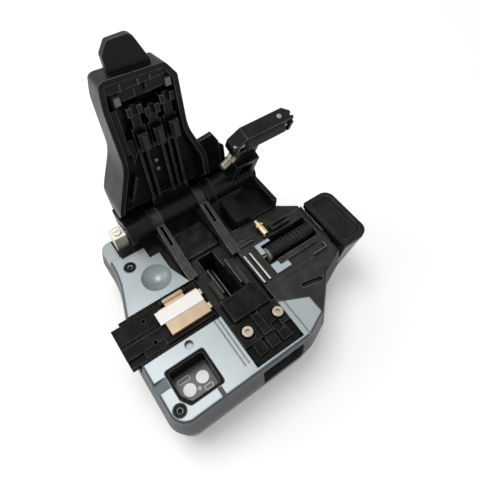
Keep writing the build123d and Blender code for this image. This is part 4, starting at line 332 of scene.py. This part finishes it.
def mottled(name, dark, pale, patch_mm, detail, roughness):
    """A plain plastic or ink whose tone wanders a little in patches."""
    material, tree, shader, place = new_finish(name)
    patch = add(tree, "ShaderNodeTexNoise", values={"Scale": 1 / (patch_mm * MM), "Detail": detail},
                links={"Vector": place})
    tone = add(tree, "ShaderNodeMix", {"data_type": "RGBA"}, {"A": linear(dark), "B": linear(pale)},
               {"Factor": patch.outputs["Fac"]})
    tree.links.new(tone.outputs["Result"], shader.inputs["Base Color"])
    shader.inputs["Roughness"].default_value = roughness
    return material


def place_piece(name, shape, material, body):
    """Turns a bmesh into a piece that rides on a body."""
    bmesh.ops.recalc_face_normals(shape, faces=shape.faces[:])
    mesh = bpy.data.meshes.new(name)
    shape.to_mesh(mesh)
    shape.free()
    mesh.materials.append(material)
    piece = bpy.data.objects.new(name, mesh)
    bpy.context.scene.collection.objects.link(piece)
    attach(piece, body)


def ink_outline(shape, middle, size, corner, line):
    """Draws the flat outline of a rounded rectangle."""
    grid = bmesh.ops.create_grid(shape, x_segments=1, y_segments=1, size=0.5)
    bmesh.ops.scale(shape, vec=(size[0], size[1], 1.0), verts=grid["verts"])
    bmesh.ops.translate(shape, vec=middle, verts=grid["verts"])
    rounded = bmesh.ops.bevel(shape, geom=grid["verts"], offset=corner, segments=6, profile=0.5,
                              affect="VERTICES", material=-1)
    face = rounded["verts"][0].link_faces[0]
    bmesh.ops.inset_region(shape, faces=[face], thickness=line, use_boundary=True, use_even_offset=True)
    bmesh.ops.delete(shape, geom=[face], context="FACES_ONLY")


INK = 0.05 * MM
INK_LINE = 0.4 * MM
PILL, PILL_CORNER = (6.0 * MM, 2.3 * MM), 1.1 * MM
SQUARE, SQUARE_CORNER = (3.8 * MM, 2.2 * MM), 0.5 * MM
DOT_R, DOT_SIDES = 0.8 * MM, 24
ink_top = plate_high.z - DISC_RISE + INK
pill_middle = (plate_low.x + 4.1 * MM, plate_high.y - 3.1 * MM, ink_top)
square_middle = (plate_high.x - 3.9 * MM, plate_low.y + 3.2 * MM, ink_top)
dot_middle = (plate_low.x + 7.9 * MM, plate_low.y + 4.6 * MM, ink_top)
marks = bmesh.new()
ink_outline(marks, pill_middle, PILL, PILL_CORNER, INK_LINE)
ink_outline(marks, square_middle, SQUARE, SQUARE_CORNER, INK_LINE)
bmesh.ops.create_circle(marks, cap_ends=True, radius=DOT_R, segments=DOT_SIDES,
                        matrix=Matrix.Translation(dot_middle))
bmesh.ops.solidify(marks, geom=marks.faces[:], thickness=INK)
pale_ink = mottled("pale_screen_ink", dark="#B9B9B6", pale="#E6E6E3", patch_mm=0.5, detail=3.0, roughness=0.6)
place_piece("window_marks", marks, pale_ink, "base")

# Chassis and hinge brackets: aluminium die castings with a black anodised skin.
# The skin is even and matt, and paler along the machined top edges, partly from wear and partly a painted
# highlight.

cast_black = moulded_black("black_anodised_casting", body="#171716", dust="#484844", edge="#A8A59C",
                           roughness=0.46, edge_mm=0.6, gloss_level=0.15)
dress(cast_black, "chassis", "floor_plate", "hinge_tray", "lower_clamps", "blade_guards")
# The hinge brackets take a paler, glossier copy of this finish, with paler edges.
paler_casting = moulded_black("black_anodised_casting_paler", body="#2A2A28", dust="#565550", edge="#BDBAB0",
                             roughness=0.42, edge_mm=0.5, gloss_level=0.3)
dress(paler_casting, "left_hinge_bracket", "right_hinge_bracket")

# Blade carriage and shafts: a moulded slider on two steel rods, with the round cutter on its own pin.
# Ground shafts show soft reflections with short lines, and the blackened tool steel is dull and dark.
# The two rods of the collector are plated with hard chrome, which is smooth and mirrors its surroundings.

ground_steel = metal("ground_steel", colour="#9C9B96", worn_and_glint="#D9D8D2",
                     roughness=0.3, edge_mm=0.15, scratch_mm=0.25, relief=0.15)
dress(ground_steel, "hinge_shaft", "roller_shaft", "upper_roller_shaft", "holder_pin")
dull_steel = metal("blackened_tool_steel", colour="#4C4C4A", worn_and_glint="#A6A6A2",
                   roughness=0.42, edge_mm=0.2, scratch_mm=0.3, relief=0.2)
dress(dull_steel, "guide_rods", "blade_axle", "blade", "edge_strips")
hard_chrome = metal("hard_chrome_plate", colour="#7C7C7B", worn_and_glint="#C9C9C7",
                    roughness=0.2, edge_mm=0.2, scratch_mm=0.3, relief=0.05)
dress(hard_chrome, "steel_rods")
dress(grained_abs, "blade_slider")

# Front block: a stepped moulding of glass-filled nylon in front of the blade, dull and mottled.
# Two cap screws hold it, nickel plated, warm in tone, with a dark hexagon socket.

glassy_black = moulded_black("black_nylon_glass_filled", body="#121211", dust="#343431", edge="#9A978F",
                             roughness=0.52, edge_mm=0.4, gloss_level=0.05)
dress(glassy_black, "front_block")
nickel = metal("satin_nickel_plate", colour="#9C9486", worn_and_glint="#D8D0C0",
               roughness=0.46, edge_mm=0.3, scratch_mm=0.5, relief=0.25)
dress(nickel, "cap_screws", "lift_pin", "arm_rivet", "lid_rivets")

# Stop block: a square block of nickel plated steel on the left end of the hinge shaft.
# A slotted screw holds it, and the plating is thick and pale, with its rounded corners paler, partly wear and
# partly a painted highlight.

pale_nickel = metal("pale_nickel_plate", colour="#CFCABD", worn_and_glint="#F2EEE2",
                    roughness=0.34, edge_mm=0.4, scratch_mm=0.5, relief=0.2)
dress(pale_nickel, "stop_block", "stop_screw")

# Side housing, gear housing and collector frame: black ABS mouldings screwed to the chassis.
# They have the same spark-eroded grain as the bottom cover.
# The two open ones are drawn greyer, partly from the glass dust they catch and partly as a painted sheen.

dust_and_sheen_abs = moulded_black("black_abs_dust_and_sheen", body="#222221", dust="#474744", edge="#A2A29B",
                          roughness=0.5, edge_mm=0.5, gloss_level=0.18)
dress(dust_and_sheen_abs, "side_housing", "collector_frame")
dress(grained_abs, "gear_housing", "slotted_fork", "grooved_roller")

# Small fittings of collector and lid: pale acetal plates, grey acetal clips and a beige nylon end disc.
# They are pressed or clipped in, and have the soft, slightly waxy sheen of bare moulded plastic.
# The bush is turned brass, bright with fine rings.

pale_acetal = mottled("pale_blue_acetal", dark="#9DAEBC", pale="#B7C5D0",
                      patch_mm=2.0, detail=4.0, roughness=0.42)
dress(pale_acetal, "pale_plates")
grey_acetal = mottled("grey_acetal", dark="#62625E", pale="#807F79", patch_mm=1.5, detail=4.0, roughness=0.4)
dress(grey_acetal, "lid_clips")
beige_nylon = mottled("beige_nylon", dark="#7F7A6B", pale="#9A9484", patch_mm=1.5, detail=4.0, roughness=0.5)
dress(beige_nylon, "roller_disc")
brass = metal("turned_brass", colour="#E0CDA4", worn_and_glint="#FFF4D8",
              roughness=0.3, edge_mm=0.2, scratch_mm=0.2, relief=0.2)
dress(brass, "brass_bush")

# Scrap bin: a smoked grey container that hangs on two tongues, with a dark dished cap.
# The container is moulded polypropylene, with flow lines from the mould running down.

FLOW = 1.6 * MM
FLOW_STRETCH = 0.12
BIN_ROUND = 0.3 * MM
smoked, tree, shader, place = new_finish("smoked_polypropylene")
stretch = add(tree, "ShaderNodeMapping", values={"Scale": (1.0, 1.0, FLOW_STRETCH)}, links={"Vector": place})
flow = add(tree, "ShaderNodeTexNoise", values={"Scale": 1 / FLOW, "Detail": 4.0},
           links={"Vector": stretch.outputs["Vector"]})
tone = add(tree, "ShaderNodeMix", {"data_type": "RGBA"}, {"A": linear("#343532"), "B": linear("#53544F")},
           {"Factor": flow.outputs["Fac"]})
rounded = add(tree, "ShaderNodeBevel", {"samples": 6}, {"Radius": BIN_ROUND})
skin = add(tree, "ShaderNodeBump", values={"Strength": 0.15, "Distance": 0.05 * MM},
           links={"Height": flow.outputs["Fac"], "Normal": rounded.outputs["Normal"]})
tree.links.new(tone.outputs["Result"], shader.inputs["Base Color"])
tree.links.new(skin.outputs["Normal"], shader.inputs["Normal"])
shader.inputs["Roughness"].default_value = 0.3
dress(smoked, "bin_container")
dress(grained_abs, "bin_cap")

# Roller arm and lid: black ABS mouldings with a smoother, half glossy face.
# Their rims and corners look paler than the flats, partly from use and partly a painted highlight.

satin_abs = moulded_black("black_abs_satin", body="#0E0E0E", dust="#242424", edge="#A0A09C",
                          roughness=0.38, edge_mm=0.6, gloss_level=0.16)
dress(satin_abs, "roller_arm", "lid_shell", "lid_frame", "lid_bar", "clamp_guides")
dress(satin_abs, "left_clamp", "right_clamp", "anvil")

# Lug guard: a thin black plate on the back of the lid's lug, which covers the root of the roller arm.
# It is moulded in the lid's own ABS, and clears the arm's barrel as lid and arm turn on one shaft.
# It is drawn as it lies with the lid closed, and then turned open with the lid.

GUARD_RISE = 7.0 * MM  # above the shaft's middle with the lid closed
GUARD_T = 1.0 * MM
GUARD_ROUND = 0.25 * MM
GUARD_PLAN = ((-10.7, 0.4), (3.0, 0.4), (3.9, 1.4), (3.9, 15.5), (-0.8, 20.5), (-10.7, 20.5))
shaft_low, shaft_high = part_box("hinge_shaft")
hinge_middle = (shaft_low + shaft_high) / 2
lug_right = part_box("lid_shell")[1].x
lid_travel = next(joint["range_deg"][1] for joint in frame["joints"] if joint["name"] == "lid_hinge")
guard = bmesh.new()
corners = [guard.verts.new((lug_right + x * MM, -reach * MM, GUARD_RISE)) for x, reach in GUARD_PLAN]
guard_face = guard.faces.new(corners)
grown = bmesh.ops.extrude_face_region(guard, geom=[guard_face], use_keep_orig=True)
top_verts = [item for item in grown["geom"] if isinstance(item, bmesh.types.BMVert)]
bmesh.ops.translate(guard, vec=(0.0, 0.0, GUARD_T), verts=top_verts)
bmesh.ops.bevel(guard, geom=guard.edges[:], offset=GUARD_ROUND, segments=2, profile=0.5,
                affect="EDGES", material=-1)
bmesh.ops.rotate(guard, cent=(0.0, 0.0, 0.0), matrix=Matrix.Rotation(-math.radians(lid_travel), 3, "X"),
                 verts=guard.verts[:])
bmesh.ops.translate(guard, vec=(0.0, hinge_middle.y, hinge_middle.z), verts=guard.verts[:])
place_piece("lug_guard", guard, satin_abs, "lid")

# Fibre holder: a black nylon base with a copper coloured clamping lid on a pin and a plain pale strip.
# The lid is bead blasted aluminium, anodised to a soft copper tone.
# The strip is polyester film glued on the lid, smooth and almost white.

BLAST = 0.25 * MM  # coarser than the real beads leave, so that it shows
HAZE = 8.0 * MM
HOLDER_ROUND = 0.2 * MM
dress(glassy_black, "holder_base")
copper_lid, tree, shader, place = new_finish("copper_anodised_aluminium")
blast = add(tree, "ShaderNodeTexNoise", values={"Scale": 1 / BLAST, "Detail": 2.0}, links={"Vector": place})
haze = add(tree, "ShaderNodeTexNoise", values={"Scale": 1 / HAZE, "Detail": 3.0}, links={"Vector": place})
tone = add(tree, "ShaderNodeMix", {"data_type": "RGBA"}, {"A": linear("#9F866B"), "B": linear("#CDB598")},
           {"Factor": haze.outputs["Fac"]})
rounded = add(tree, "ShaderNodeBevel", {"samples": 6}, {"Radius": HOLDER_ROUND})
skin = add(tree, "ShaderNodeBump", values={"Strength": 0.2, "Distance": 0.01 * MM},
           links={"Height": blast.outputs["Fac"], "Normal": rounded.outputs["Normal"]})
tree.links.new(tone.outputs["Result"], shader.inputs["Base Color"])
tree.links.new(skin.outputs["Normal"], shader.inputs["Normal"])
shader.inputs["Metallic"].default_value = 0.25
shader.inputs["Roughness"].default_value = 0.42
dress(copper_lid, "holder_lid")
white_film = mottled("white_polyester_film", dark="#EDEBE6", pale="#F8F7F3",
                     patch_mm=1.2, detail=3.0, roughness=0.45)
dress(white_film, "holder_strip")

# Catches of the holder: two nickel plated tongues riveted under the lid's inner end.
# They hold the lid down, and only their rounded noses show past its edge.

CATCH_L, CATCH_H = 1.4 * MM, 1.5 * MM
CATCH_ROUND = 0.4 * MM
CATCH_RISE = 1.1 * MM
CATCHES = (("rear_holder_catch", 9.9, 2.6), ("front_holder_catch", 2.4, 2.8))  # name, place, width in mm
lid_low, lid_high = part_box("holder_lid")
for name, along, width in CATCHES:
    catch = bmesh.new()
    bmesh.ops.create_cube(catch, size=1.0)
    bmesh.ops.scale(catch, vec=(CATCH_L, width * MM, CATCH_H), verts=catch.verts[:])
    nose = [edge for edge in catch.edges if all(v.co.x > 0.0 for v in edge.verts)]
    bmesh.ops.bevel(catch, geom=nose, offset=CATCH_ROUND, segments=3, profile=0.5,
                    affect="EDGES", material=-1)
    middle = (lid_high.x + CATCH_L / 2, lid_low.y + along * MM, lid_low.z + CATCH_RISE)
    bmesh.ops.translate(catch, vec=middle, verts=catch.verts[:])
    place_piece(name, catch, nickel, "holder_lid")

# Floor: a plain pale sheet of matt paper under the feet.
# It takes a soft shadow from the body and throws some light back up.
# Far from the lamps it is seen a little brighter, so that it runs into the pale background.


def background_rays(tree):
    """One where the eye, a mirror or clear glass sees the background, and zero for other light."""
    rays = add(tree, "ShaderNodeLightPath")
    direct = add(tree, "ShaderNodeMath", {"operation": "MAXIMUM"},
                 links={0: rays.outputs["Is Camera Ray"], 1: rays.outputs["Is Glossy Ray"]})
    seen = add(tree, "ShaderNodeMath", {"operation": "MAXIMUM"},
               links={0: direct.outputs["Value"], 1: rays.outputs["Is Transmission Ray"]})
    return seen.outputs["Value"]


FLOOR_HALF = 4.0
NEAR_LIFT, FAR_LIFT = 0.18, 0.45
LIFT_START, LIFT_END = 0.2, 1.0
sheet = bmesh.new()
bmesh.ops.create_grid(sheet, x_segments=1, y_segments=1, size=FLOOR_HALF,
                      matrix=Matrix.Translation((0.0, 0.0, cad_box[0].z)))
floor_mesh = bpy.data.meshes.new("floor")
sheet.to_mesh(floor_mesh)
sheet.free()
floor = bpy.data.objects.new("floor", floor_mesh)
bpy.context.scene.collection.objects.link(floor)
floor_paper, tree, shader, place = new_finish("matt_white_paper")
away = add(tree, "ShaderNodeVectorMath", {"operation": "LENGTH"}, links={0: place})
level = add(tree, "ShaderNodeMapRange", {"interpolation_type": "SMOOTHSTEP"},
            {"From Min": LIFT_START, "From Max": LIFT_END, "To Min": NEAR_LIFT, "To Max": FAR_LIFT},
            {"Value": away.outputs["Value"]})
lift = add(tree, "ShaderNodeMath", {"operation": "MULTIPLY"},
           links={0: background_rays(tree), 1: level.outputs["Result"]})
tree.links.new(lift.outputs["Value"], shader.inputs["Emission Strength"])
shader.inputs["Emission Color"].default_value = linear("#FFFFFF")
shader.inputs["Base Color"].default_value = linear("#FCFCFC")
shader.inputs["Roughness"].default_value = 0.9
floor.data.materials.append(floor_paper)

# Light: a soft lamp almost overhead, a weaker one from the back left, and a pale ceiling.
# Together they give a level surface about the brightness of its own colour.
# The ceiling lights softly from above, and the eye and mirrors see it as one pale background.

HORIZON_LIGHT, CEILING_LIGHT = 0.12, 0.6
PALE_BACKGROUND = 0.9
world = bpy.data.worlds.new("pale_ceiling")
world.use_nodes = True
sky = world.node_tree
way = add(sky, "ShaderNodeTexCoord")
rise = add(sky, "ShaderNodeSeparateXYZ", links={"Vector": way.outputs["Generated"]})
fade = add(sky, "ShaderNodeMapRange", {"interpolation_type": "SMOOTHSTEP"},
           {"From Max": 0.95, "To Min": HORIZON_LIGHT, "To Max": CEILING_LIGHT}, {"Value": rise.outputs["Z"]})
pale = add(sky, "ShaderNodeMath", {"operation": "MULTIPLY"}, {1: PALE_BACKGROUND}, {0: background_rays(sky)})
strength = add(sky, "ShaderNodeMath", {"operation": "MAXIMUM"},
               links={0: fade.outputs["Result"], 1: pale.outputs["Value"]})
sky.nodes["Background"].inputs["Color"].default_value = (1.0, 1.0, 1.0, 1.0)
sky.links.new(strength.outputs["Value"], sky.nodes["Background"].inputs["Strength"])
bpy.context.scene.world = world


def soft_lamp(name, place_m, aim_m, size_m, watts):
    """A square soft lamp that points at the object."""
    data = bpy.data.lights.new(name, "AREA")
    data.size = size_m
    data.energy = watts
    lamp = bpy.data.objects.new(name, data)
    lamp.location = place_m
    lamp.rotation_mode = "QUATERNION"
    lamp.rotation_quaternion = (Vector(aim_m) - Vector(place_m)).to_track_quat("-Z", "Y")
    bpy.context.scene.collection.objects.link(lamp)


soft_lamp("top_lamp", place_m=(-0.1, 0.19, 0.83), aim_m=(0.0, 0.0, 0.03), size_m=0.4, watts=3.1)
soft_lamp("left_lamp", place_m=(-0.6, 0.4, 0.5), aim_m=(0.0, 0.0, 0.05), size_m=0.5, watts=1.2)

# Camera: set where the photograph was taken, above the front left corner and near the object.
# Its place is measured from the hinge shaft, the longest straight line in the view.

AIM_RIGHT, AIM_FRONT, AIM_DROP = 48.68 * MM, 28.62 * MM, 6.4 * MM
CAMERA_AWAY = 200 * MM
aim = Vector((shaft_low.x + AIM_RIGHT, hinge_middle.y - AIM_FRONT, hinge_middle.z - AIM_DROP))
azimuth, elevation, roll = math.radians(-36.0), math.radians(57.7), math.radians(1.1)
level_reach = math.cos(elevation)
back = Vector((math.sin(azimuth) * level_reach, -math.cos(azimuth) * level_reach, math.sin(elevation)))
right = Vector((math.cos(azimuth), math.sin(azimuth), 0.0))
up = back.cross(right)
right_rolled = right * math.cos(roll) + up * math.sin(roll)
up_rolled = up * math.cos(roll) - right * math.sin(roll)
lens = bpy.data.cameras.new("camera")
lens.lens = 32.1
lens.sensor_width = 36.0
lens.clip_start = 0.01
camera = bpy.data.objects.new("camera", lens)
turn = Matrix((right_rolled, up_rolled, back)).transposed().to_4x4()
camera.matrix_world = Matrix.Translation(aim + back * CAMERA_AWAY) @ turn
bpy.context.scene.collection.objects.link(camera)
bpy.context.scene.camera = camera
bpy.context.scene.view_settings.view_transform = "Standard"
